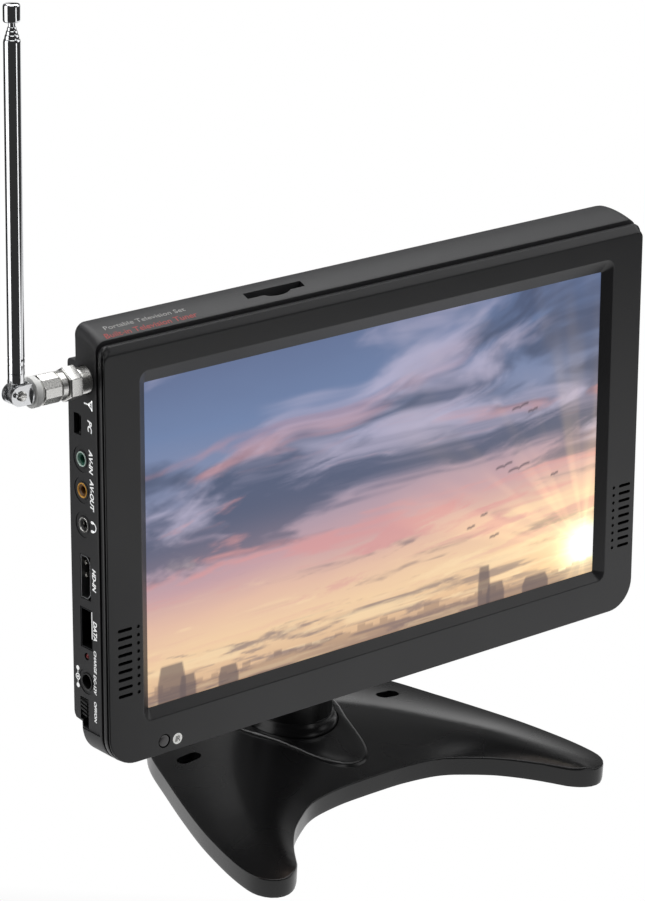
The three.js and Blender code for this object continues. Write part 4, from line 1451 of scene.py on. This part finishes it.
@dataclass
class PortPanel:
    """Sockets, lamp, switch and their printed labels on the left wall."""

    wall: float = -130.5

    def on_wall(self, flat: Shape, y: float, z: float) -> Shape:
        """Flat print laid on the left wall, where it reads from top to bottom."""
        u, v, t = flat.points.T
        return Shape(np.stack([self.wall - 0.03 - t, y - v, z - u], 1), flat.faces)

    def round_jack(self, name: str, spot: str, outer: Finish, ring: Finish,
                   node_name: str) -> None:
        """A round socket: coloured collar, pale ring and dark bore.

        Args:
            name: the pieces' first word.
            spot: the port that it sits in.
            outer: the collar's finish.
            ring: the inner ring's finish.
            node_name: the CAD node that it stands for.
        """
        y, z = RearShell.PORTS[spot]
        x = self.wall
        housing = block(-128.4, -114.5, y - 4, y + 3.9, z - 4.3, z + 4.3)
        bore = turned([(0, -135), (1.75, -135), (1.75, -119), (0, -119)], 32)
        body = carve(housing, [], [bore.laid("x").moved(0, y, z)])
        piece(f"{name}_housing", body, INNER_ABS, Body.SET.value, SET, replaces=[node_name])
        flange = turned([(3.4, x + 3), (3.4, x + 0.1), (3.3, x), (2.85, x), (2.8, x + 0.2),
                         (2.8, x + 3)], 48)
        piece(f"{name}_flange", flange.laid("x").moved(0, y, z), CASE_ABS, Body.SET.value,
              SET)
        collar = turned([(2.85, x + 4), (2.85, x - 0.05), (2.75, x - 0.2), (2.5, x - 0.2),
                         (2.35, x), (2.3, x + 0.3), (2.3, x + 4)], 48)
        piece(f"{name}_collar", collar.laid("x").moved(0, y, z), outer, Body.SET.value, SET,
              sharp=40)
        lining = turned([(2.3, x + 3), (2.3, x + 0.25), (2.2, x + 0.15), (1.55, x + 0.5),
                         (1.4, x + 0.8), (1.4, x + 3)], 48)
        piece(f"{name}_lining", lining.laid("x").moved(0, y, z), ring, Body.SET.value, SET)
        if name == "jack_phones":
            bars = together([
                block(x + 0.9, x + 1.6, y - 0.55, y + 0.55, z + d - 0.35, z + d + 0.35)
                for d in (-1.55, 1.55)] + [
                block(x + 0.9, x + 1.6, y + d - 0.35, y + d + 0.35, z - 0.55, z + 0.55)
                for d in (-1.55, 1.55)])
            piece(f"{name}_springs", bars, CONTACT, Body.SET.value, SET, bevel=0.1)

    def build(self) -> None:
        """Make every socket and label."""
        # The AV sockets' linings take darker copies of their collars' plastics: painted shade
        # inside the mouths.
        self.round_jack("jack_av_in", "av_in", GREEN_PLASTIC, GREEN_PLASTIC_PAINTED_SHADE,
                        "jack_av_in")
        self.round_jack("jack_av_out", "av_out", ORANGE_PLASTIC, ORANGE_PLASTIC_PAINTED_SHADE,
                        "jack_av_out")
        self.round_jack("jack_phones", "phones", NICKEL, INSULATOR,
                        "jack_headphones")
        self.power_inlet()
        self.flat_ports()
        self.switch()
        self.labels()

    def power_inlet(self) -> None:
        """Make the round power inlet with its centre pin."""
        y, z = RearShell.PORTS["power"]
        x = self.wall
        sleeve = turned([(3.35, x + 14), (3.35, x), (3.1, x - 0.15), (2.75, x - 0.1),
                         (2.6, x + 0.2), (2.6, x + 11), (0, x + 11), (0, x + 14)], 48)
        piece("inlet_sleeve", sleeve.laid("x").moved(0, y, z), INSULATOR, Body.SET.value,
              SET, ["jack_power_in"], sharp=40)
        pin = turned([(0, x + 2.2), (0.6, x + 2.3), (0.85, x + 2.8), (0.85, x + 11),
                      (0, x + 11)], 24)
        piece("inlet_pin", pin.laid("x").moved(0, y, z), CONTACT, Body.SET.value, SET)

    def flat_ports(self) -> None:
        """Make the two flat sockets, the small slot and the charge lamp."""
        x = self.wall
        y, z = RearShell.PORTS["hd"]
        hd = np.array([[-2.9, -6.2], [-1, -8.2], [2.9, -8.2], [2.9, 8.2], [-1, 8.2],
                       [-2.9, 6.2]])
        inner = hd * np.array([0.88, 0.96])
        sleeve = carve(prism(hd + [y, z], x + 0.1, -117, "yz"), [],
                       [prism(inner + [y, z], x - 2, -119, "yz")])
        piece("port_hd_sleeve", sleeve, DULL_TIN, Body.SET.value, SET, ["port_hd"],
              bevel=0.08)
        tongue = block(x + 3.4, -118, y - 0.6, y + 0.6, z - 6.4, z + 6.4)
        piece("port_hd_tongue", tongue, INNER_ABS, Body.SET.value, SET, bevel=0.2)
        springs = together([block(x + 0.5, x + 1.4, y - 0.2, y + 0.9, z + d - 0.5, z + d + 0.5)
                            for d in (0.6, 5.4)]
                           + [block(x + 1.3, x + 6, y + 0.5, y + 2.7, z + d - 0.5, z + d + 0.5)
                              for d in (0.6, 5.4)])
        piece("port_hd_springs", springs, CONTACT, Body.SET.value, SET, bevel=0.1)
        y, z = RearShell.PORTS["data"]
        rim = np.array([[-3.4, -7.6], [3.4, -7.6], [3.4, 7.6], [-3.4, 7.6]])
        sleeve = carve(prism(rim + [y, z], x + 0.1, -117, "yz"), [],
                       [prism(rim * [0.9, 0.955] + [y, z], x - 2, -119, "yz")])
        piece("port_data_sleeve", sleeve, DARK_TIN, Body.SET.value, SET,
              ["port_data"], bevel=0.08)
        tongue = block(x + 3, -118, y - 1.4, y - 0.2, z - 5.8, z + 5.8)
        piece("port_data_tongue", tongue, INNER_ABS, Body.SET.value, SET, bevel=0.15)
        # A thin white strip with a glow of its own: a painted highlight for the lit edge of the
        # socket's metal shell.
        lip = block(x - 0.04, x + 0.6, y - 3.5, y - 3.12, z - 3.2, z + 7.4)
        piece("port_data_painted_highlight", lip, WHITE_INK, Body.SET.value, SET, bevel=0.1)
        y, z = RearShell.PORTS["pc"]
        ring = carve(block(-128.2, -119, y - 2.6, y + 2.6, z - 5, z + 5),
                     [block(x + 0.9, -121, y - 2.1, y + 0.4, z - 3.9, z + 3.9)],
                     [block(x - 2, -122, y - 1.2, y + 1.7, z - 2.9, z + 2.9)])
        piece("port_pc_ring", ring, INNER_ABS, Body.SET.value, SET,
              ["port_pc"], bevel=0.12)
        y, z = RearShell.PORTS["led"]
        lens = turned([(0, x + 0.1), (0.6, x + 0.15), (1, x + 0.5), (1.1, x + 0.9),
                       (1.1, -124), (0, -124)], 32).laid("x").moved(0, y, z)
        piece("charge_lamp", lens, LED_LENS, Body.SET.value, SET,
              ["charge_led"])

    def switch(self) -> None:
        """Make the sliding power switch: its knob, its ridges and its inner wing."""
        x = self.wall
        y, z = RearShell.PORTS["toggle"]
        sole = np.array([[-2.3, -1.4], [0.7, -1.4], [0.7, 1], [2.1, 1], [2.1, 5.2], [-2.3, 5.2]])
        knob = prism(sole + [y, z], x + 0.3, -126.2, "yz")
        ridges = [prism(np.array([[y - 2.2, z + d], [y + e, z + d + 0.2 * (e + 2.2)],
                                  [y + e, z + d + 0.7 + 0.2 * (e + 2.2)],
                                  [y - 2.2, z + d + 0.7]]), x - 0.45, x + 0.6, "yz")
                  for d, e in ((-1.2, 0.6), (0.35, 2.1), (1.9, 2.1), (3.4, 2.1))]
        wing = block(-128.2, -126.6, y - 4.6, y - 0.4, z - 1.4, z + 6)
        piece("power_switch_knob", carve(knob, [*ridges, wing]), INNER_ABS,
              Body.SWITCH.value, SET, ["power_slider"], bevel=0.15)

    def labels(self) -> None:
        """Print the labels, the icons and the polarity mark."""
        words = [
            ("PC", 5.8, 48.2, 2.7, 4.8), ("AV-IN", 5.5, 35.0, 2.5, 9.2),
            ("AV-OUT", 5.2, 22.5, 2.5, 12.1), ("HD-IN", 4.8, -9.9, 2.4, 8.8),
            ("DATA", 4.7, -29.5, 2.4, 7.6), ("CHARGE", 5.0, -41.7, 1.7, 8.9),
            ("DC-12V", 5.3, -50.6, 1.8, 7.8), ("OFF/ON", 5.3, -61.4, 1.7, 8.2),
        ]
        for text, y, z, tall, long in words:
            flat = fitted(lettering(text, tall * 0.86, 0.25, 0.05 * tall - 0.04), long)
            print_ = self.on_wall(flat, y + 0.9, z)
            name = "label_" + text.lower().replace("/", "_").replace("-", "_")
            piece(name, print_, WHITE_INK, Body.SET.value, SET)
        a = np.linspace(0, math.pi, 17)
        arc = np.stack([np.cos(a), np.sin(a)], 1)
        band_ = np.concatenate([arc * 1.5, arc[::-1] * 1.15])
        phones = together([prism(band_, -0.02, 0.02),
                           prism(capsule(0.42, 0.7, 4) + [1.35, -0.45], -0.02, 0.02),
                           prism(capsule(0.42, 0.7, 4) + [-1.35, -0.45], -0.02, 0.02)])
        phones.points[:, :2] *= 1.25
        piece("label_headphones", self.on_wall(phones, 5.6, 10.5), WHITE_INK,
              Body.SET.value, SET)
        rods = [
            np.array([[-0.22, -2], [0.22, -2], [0.22, 1.2], [-0.22, 1.2]]),
            np.array([[-1.6, 1.9], [-1.05, 1.9], [0.2, 0.1], [-0.35, 0.1]]),
            np.array([[1.6, 1.9], [1.05, 1.9], [-0.2, 0.1], [0.35, 0.1]]),
            np.array([[-1.6, 1.6], [1.6, 1.6], [1.6, 2], [-1.6, 2]]),
        ]
        icon = together([prism(r, -0.02, 0.02) for r in rods])
        icon.points[:, :2] *= 1.25
        piece("label_antenna", self.on_wall(icon, 7.4, 56.4), WHITE_INK, Body.SET.value, SET)
        marks = [prism(capsule(0.9, 0.9, 6) + [d, 0], -0.02, 0.02) for d in (-3.4, 3.4)]
        hole = prism(capsule(0.95, 0.95, 8), -1, 1)
        marks.append(carve(prism(capsule(1.3, 1.3, 8), -0.02, 0.02), [], [hole]))
        marks += [prism(capsule(0.5, 0.5, 6), -0.02, 0.02),
                  prism(np.array([[-2.6, -0.12], [-1.3, -0.12], [-1.3, 0.12], [-2.6, 0.12]]),
                        -0.02, 0.02),
                  prism(np.array([[1.3, -0.12], [2.6, -0.12], [2.6, 0.12], [1.3, 0.12]]),
                        -0.02, 0.02)]
        piece("label_polarity", self.on_wall(together(marks), 16.8, -50.5), WHITE_INK,
              Body.SET.value, SET)


@dataclass
class SideKeys:
    """The row of seven push keys in the right wall."""

    y: float = 8.6
    top: float = 48.0
    step: float = 11.0

    NAMES = ("power", "source", "menu", "channel_up", "channel_down", "volume_up",
             "volume_down")

    def build(self) -> None:
        """Make each key with its flange."""
        for i, name in enumerate(self.NAMES):
            z = self.top - self.step * i
            rings = []
            for x, a, b in ((128, 1.45, 3.45), (131.4, 1.45, 3.45), (131.75, 1.3, 3.3),
                            (131.9, 1.0, 3.0)):
                flat = capsule(a, b) + np.array([self.y, z])
                rings.append(np.column_stack([np.full(len(flat), x), flat]))
            key = loft(np.array(rings)) + block(126.9, 128.4, self.y - 2.4, self.y + 2.4,
                                                z - 4.5, z + 4.5)
            piece(f"key_{name}_cap", key, INNER_ABS, f"key_{name}", SET,
                  [f"button_{name}"], sharp=40)


# ---- Antenna -------------------------------------------------------------------------------


@dataclass
class AntennaMount:
    """The threaded socket in the wall and the hexagon nut on it."""

    axis: tuple[float, float] = (9.6, 65.1)

    def build(self) -> None:
        """Make the barrel, its thread and the nut."""
        y, z = self.axis
        profile = [(5.5, -126.4), (5.5, -128.4), (4.55, -128.4)]
        x = -128.9
        while x > -134.0:
            profile += [(4.9, x), (4.55, x - 0.32)]
            x -= 0.64
        profile += [(4.5, -134.3), (3.4, -134.4), (3.4, -127), (2.4, -127), (2.4, -126.4)]
        barrel = turned(profile[::-1], 64).laid("x").moved(0, y, z)
        tail = turned([(0, -122.4), (2.4, -122.4), (2.4, -126.4), (0, -126.4)], 24)
        piece("antenna_barrel", barrel + tail.laid("x").moved(0, y, z), NICKEL,
              Body.SET.value, SET, ["antenna_socket"], sharp=50)
        nut = turned([(0, -140.1), (6.0, -140.1), (6.6, -139.7), (6.6, -135.1),
                      (6.0, -134.7), (0, -134.7)], 6).laid("x").moved(0, y, z)
        stem = turned([(0, -131.6), (3.1, -131.6), (3.1, -136), (0, -136)], 32)
        neck = turned([(0, -140), (2.9, -140), (2.9, -143.2), (0, -143.2)], 32)
        body = together([nut, stem.laid("x").moved(0, y, z), neck.laid("x").moved(0, y, z)])
        piece("antenna_hex_nut", body, NICKEL, Body.SET.value, SET,
              ["antenna_nut"], bevel=0.25)


@dataclass
class AntennaPlug:
    """What turns with the mast: ten-sided grip, grey ring, fork and elbow pin."""

    axis: tuple[float, float] = (9.6, 65.1)

    def build(self) -> None:
        """Make the plug's pieces."""
        y, z = self.axis
        collar = turned([(3.2, -140.4), (5.0, -140.4), (5.35, -140.8), (5.35, -143.1),
                         (3.2, -143.1)], 56).laid("x").moved(0, y, z)
        grip = turned([(0, -151.3), (5.1, -151.3), (5.75, -150.7), (5.75, -143.7),
                       (5.1, -143.1), (0, -143.1)], 10).laid("x").moved(0, y, z)
        piece("antenna_grip_body", collar + grip, NICKEL, Body.PLUG.value, SET,
              ["antenna_grip"], bevel=0.2)
        ring = turned([(2.3, -154.3), (5.4, -154.3), (5.7, -154), (5.7, -151.9),
                       (5.4, -151.6), (2.3, -151.6)], 56)
        piece("antenna_grey_ring", ring.laid("x").moved(0, y, z), GREY_PLASTIC,
              Body.PLUG.value, SET, ["antenna_ring"], sharp=50)
        ex, _, ez = ELBOW
        cheeks = []
        for y0, y1 in ((y - 3.1, y - 1.5), (y + 1.5, y + 3.1)):
            a = np.linspace(math.pi / 2, 1.5 * math.pi, 21)
            flat = np.concatenate([
                np.stack([ex - 0.5 + 3.7 * np.cos(a), ez + 3.7 * np.sin(a)], 1),
                [[-154.45, ez - 3.7], [-154.45, ez + 3.7]]])
            cheeks.append(prism(flat, y0, y1, "xz"))
        web = turned([(0, -155.4), (4.4, -155.4), (4.4, -154.5), (0, -154.5)], 40)
        neck = turned([(0, -155), (2, -155), (2, -151.8), (0, -151.8)], 24)
        rivet = turned([(0, y - 3.75), (0.6, y - 3.7), (0.95, y - 3.45), (0.95, y - 3),
                        (0, y - 3)], 24).laid("y")
        fork = carve(cheeks[0], [cheeks[1], web.laid("x").moved(0, y, z),
                                 rivet.moved(ex - 2.5, 0, ez + 0.9)],
                     [turned([(0, 0), (1.4, 0), (1.4, 20), (0, 20)], 24).laid("y")
                      .moved(ex, 0, ez)])
        piece("antenna_fork_body", fork + neck.laid("x").moved(0, y, z),
              CHROMED_CASTING,
              Body.PLUG.value, SET, ["antenna_fork"], bevel=0.3)
        pin = turned([(0, y - 4.1), (1.3, y - 4.05), (1.75, y - 3.75), (1.75, y - 3.3),
                      (1.1, y - 3.25), (1.1, y + 3.25), (1.75, y + 3.3), (1.75, y + 3.6),
                      (1.3, y + 3.9), (0, y + 3.9)], 32).laid("y").moved(ex, 0, ez)
        slot = block(ex - 3, ex + 3, y - 4.4, y - 3.8, ez - 0.25, ez + 0.25)
        piece("antenna_elbow_rivet", carve(pin, [], [slot]), NICKEL, Body.PLUG.value, SET,
              ["elbow_pin"])


@dataclass
class Mast:
    """The five telescoping tubes, each a thin tube with a rolled mouth."""

    RADII = (3.05, 2.6, 2.15, 1.7, 1.25)
    TOPS = (191.5, 193, 194.4, 195.7, 203.7)
    FEET = (73.5, 75.5, 77.5, 79.5, 81.5)

    def tube(self, i: int) -> Shape:
        """One tube about the elbow's own axes.

        Args:
            i: its number from the outside, 0 to 3.

        Returns:
            The open tube, its mouth rolled in over its last millimetre.
        """
        r = self.RADII[i]
        foot, top = self.FEET[i] - ELBOW[2], self.TOPS[i] - ELBOW[2]
        inner = r - 0.25
        outside = [(r, foot)]
        if i == 0:
            for groove in (76.7 - ELBOW[2], 79.0 - ELBOW[2]):
                outside += [(r, groove - 0.35), (r - 0.16, groove), (r, groove + 0.35)]
        outside += [(r, top - 1.1), (r - 0.05, top - 0.6), (r - 0.2, top - 0.15),
                    (r - 0.32, top)]
        return turned(outside + [(r - 0.42, top - 0.1), (inner, top - 0.6), (inner, foot)], 56)

    def build(self) -> None:
        """Make the root with its knuckle, the tubes and the tip with its cap."""
        foot = self.FEET[0] - ELBOW[2]
        tube = self.tube(0)
        ferrule = turned([(0, 4.5), (2.85, 4.5), (3.05, 4.7), (3.05, foot + 0.4),
                          (0, foot + 0.4)], 56)
        tang = block(-3, 3, -1.3, 1.3, 0, 5.6)
        eye = turned([(0, -1.3), (3.3, -1.3), (3.3, 1.3), (0, 1.3)], 40).laid("y")
        hole = turned([(0, -6), (1.4, -6), (1.4, 6), (0, 6)], 24).laid("y")
        knuckle = carve(tang, [eye], [hole])
        piece("mast_tube_1", tube + ferrule, CHROME, "mast_section_1", MAST,
              ["mast_1"], sharp=50)
        piece("mast_knuckle", knuckle, CHROMED_CASTING, "mast_section_1", MAST,
              bevel=0.25)
        for i in range(1, 4):
            piece(f"mast_tube_{i + 1}", self.tube(i), CHROME, f"mast_section_{i + 1}", MAST,
                  [f"mast_{i + 1}"], sharp=50)
        r, top = self.RADII[4], self.TOPS[4] - ELBOW[2]
        tip = turned([
            (0, self.FEET[4] - ELBOW[2]), (r, self.FEET[4] - ELBOW[2]), (r, top - 6.8),
            (1.9, top - 6.6), (2.8, top - 6.35), (3.0, top - 6.0), (3.05, top - 5.5),
            (3.05, top - 1.0), (2.95, top - 0.5), (2.7, top - 0.2), (2.2, top - 0.04),
            (0, top)], 56)
        piece("mast_tip", tip, CHROME, "mast_section_5", MAST, ["mast_5"],
              sharp=50)


# ---- Inside --------------------------------------------------------------------------------


@dataclass
class Inside:
    """Board, tuner can and battery behind the openings."""

    def build(self) -> None:
        """Dress the inner parts."""
        piece("board_panel", block(-128, -30, 5.3, 6.9, -69, 58), BOARD, Body.SET.value, SET,
              ["main_board"], bevel=0.15)
        piece("tuner_can_body", block(-121, -90, 7.9, 16, 54, 68.5), TINPLATE,
              Body.SET.value, SET, ["tuner_can"], bevel=0.5)
        piece("battery_pack_body", block(34, 118, 7.9, 16.9, -62, -6), WRAP,
              Body.SET.value, SET, ["battery_pack"], bevel=2.0, segments=4)


# ---- Studio --------------------------------------------------------------------------------


@dataclass
class Studio:
    """White paper sweep, soft boxes and the camera."""

    focal: float = 145.07
    world: float = 0.035
    centre: tuple[float, float, float] = (-839.08, -986.15, 462.41)
    ROWS = (
        (0.77370162, -0.63353774, 0.00396751),
        (-0.20494296, -0.25620036, -0.94464795),
        (0.59948661, 0.73006253, -0.32806173),
    )

    def axes(self) -> tuple[Vector, Vector]:
        """The view's level axes.

        Returns:
            Unit vectors along the view and across it to the right.
        """
        view = SET.turn @ Vector(self.ROWS[2])
        along = Vector((view.x, view.y, 0)).normalized()
        return along, Vector((along.y, -along.x, 0))

    def camera(self) -> None:
        """Stand the camera where it sees the set from the left and above."""
        data = bpy.data.cameras.new("camera")
        data.lens = self.focal
        data.sensor_width = 36
        data.clip_end = 20
        o = bpy.data.objects.new("camera", data)
        bpy.context.scene.collection.objects.link(o)
        x, y, z = (SET.turn @ Vector(r) for r in self.ROWS)
        turn = Matrix((x, -y, -z)).transposed().to_4x4()
        at = Vector(SET.world(np.array([self.centre]))[0])
        o.matrix_world = Matrix.Translation(at) @ turn
        bpy.context.scene.camera = o

    def soft_box(self, name: str, at: Sequence[float], aim: Sequence[float],
                 size: Sequence[float], power: float) -> None:
        """Hang a rectangular soft box.

        Args:
            name: its name.
            at: where it hangs, in metres.
            aim: what it points at.
            size: width and height.
            power: watts.
        """
        data = bpy.data.lights.new(name, "AREA")
        data.shape = "RECTANGLE"
        data.size, data.size_y = size
        data.energy = power
        o = bpy.data.objects.new(name, data)
        bpy.context.scene.collection.objects.link(o)
        o.location = at
        o.rotation_euler = (Vector(aim) - Vector(at)).to_track_quat("-Z", "Y").to_euler()

    def paper(self) -> None:
        """Lay the lit white sheet that the stand rests on.

        Its light falls from white to the room's own dim level towards its edges."""
        along, across = self.axes()
        a, c = np.meshgrid(np.concatenate([np.linspace(-0.9, 0.4, 53), np.linspace(0.5, 2.7, 34)]),
                           np.linspace(-1.0, 1.2, 89), indexing="ij")
        near = 0.135 + 0.25 * step(0.15, 0.4, c)
        bend = np.clip((a - 1.2) / 0.5, 0, math.pi / 2)
        past = np.maximum(0, a - 1.2 - 0.25 * math.pi)
        out = np.minimum(a, 1.2) + 0.5 * np.sin(bend)
        high = 0.5 * (1 - np.cos(bend)) + past
        wide = 0.27 + 0.1 * a + 0.6 * step(0.7, 1.4, a)
        fade = (step(-near - 0.08, -near, a) * step(0.95 + 0.2 * bend, 0.6 + 0.2 * bend, c)
                * step(0, 1, (c + wide) / 0.12) * step(0.6, 0.12, high))
        points = (out[..., None] * np.array(along) + c[..., None] * np.array(across)
                  + high[..., None] * np.array([0, 0, 1]))
        i, j = np.meshgrid(np.arange(a.shape[0] - 1), np.arange(a.shape[1] - 1))
        k, n = (i * a.shape[1] + j).ravel(), a.shape[1]
        lit = fade.ravel()
        k = k[np.maximum.reduce([lit[k], lit[k + n], lit[k + n + 1], lit[k + 1]]) > 0]
        mesh = bpy.data.meshes.new("studio_paper")
        mesh.from_pydata(points.reshape(-1, 3).tolist(), [],
                         np.stack([k, k + n, k + n + 1, k + 1], -1).tolist())
        share_at = mesh.attributes.new("fade", "FLOAT", "POINT")
        glow = self.world + (1 - self.world) * fade
        share_at.data.foreach_set("value", glow.astype(np.float32).ravel())
        material = bpy.data.materials.new("studio_lit_paper")
        material.use_nodes = True
        tree = material.node_tree
        tree.nodes.clear()
        share = node(tree, "Attribute", {"attribute_name": "fade"})
        light = node(tree, "Emission", Color=(1, 1, 1, 1), Strength=share.outputs["Fac"])
        node(tree, "OutputMaterial", Surface=light.outputs[0])
        mesh.materials.append(material)
        o = bpy.data.objects.new("studio_paper", mesh)
        bpy.context.scene.collection.objects.link(o)

    def build(self) -> None:
        """Light the set and stand the camera."""
        scene = bpy.context.scene
        world = bpy.data.worlds.new("studio")
        world.use_nodes = True
        world.node_tree.nodes["Background"].inputs[0].default_value = (*[self.world] * 3, 1)
        scene.world = world
        scene.view_settings.view_transform = "Standard"
        self.paper()
        self.camera()
        along, across = self.axes()
        aim = Vector((0, 0, 0.2))

        def spot(a: float, c: float, z: float) -> Vector:
            """The point a along the view, c to the right and z up."""
            return along * a + across * c + Vector((0, 0, z))

        def turned_spot(degrees: float, out: float, z: float) -> Vector:
            """The point that lies out from the set, turned from the camera's side."""
            t = math.radians(degrees)
            return spot(-math.cos(t) * out, -0.1 + math.sin(t) * out, z)

        self.soft_box("soft_box_left", turned_spot(-66, 0.85, 0.1), spot(0, -0.1, 0.1),
                      (0.66, 1.3), 4.2)
        self.soft_box("soft_box_strip", turned_spot(57, 0.9, -0.05), spot(0, -0.1, -0.05),
                      (0.17, 0.6), 0.5)
        self.soft_box("soft_box_right", spot(0.3, 1.0, 0.75), spot(0, 0, 0.3), (1.0, 0.8), 3.0)
        self.soft_box("soft_box_top", spot(0.3, 0.0, 1.2), aim, (1.3, 0.9), 14)
        for side in (-1, 1):
            self.soft_box(f"soft_box_back_{'left' if side < 0 else 'right'}",
                          turned_spot(180 - 20 * side, 1.5, 0.62), spot(0, 0, 0.05),
                          (0.62, 0.6), 0.62 if side < 0 else 0.3)
        self.soft_box("soft_box_front", spot(-0.75, 0.0, 1.35), aim, (1.0, 0.5), 3.2)


# ---- Assembly ------------------------------------------------------------------------------


def main() -> None:
    """Build every sub-assembly in order, then the studio."""
    logging.basicConfig(level=logging.INFO, format="%(name)s: %(message)s")
    for part in (StandBase(), StandColumn(), TiltBracket(), FrontBezel(), DisplayModule(),
                 RearShell(), PortPanel(), SideKeys(), AntennaMount(), AntennaPlug(), Mast(),
                 Inside(), Studio()):
        part.build()
        LOG.info("built %s", type(part).__name__)


if __name__ == "__main__":
    main()
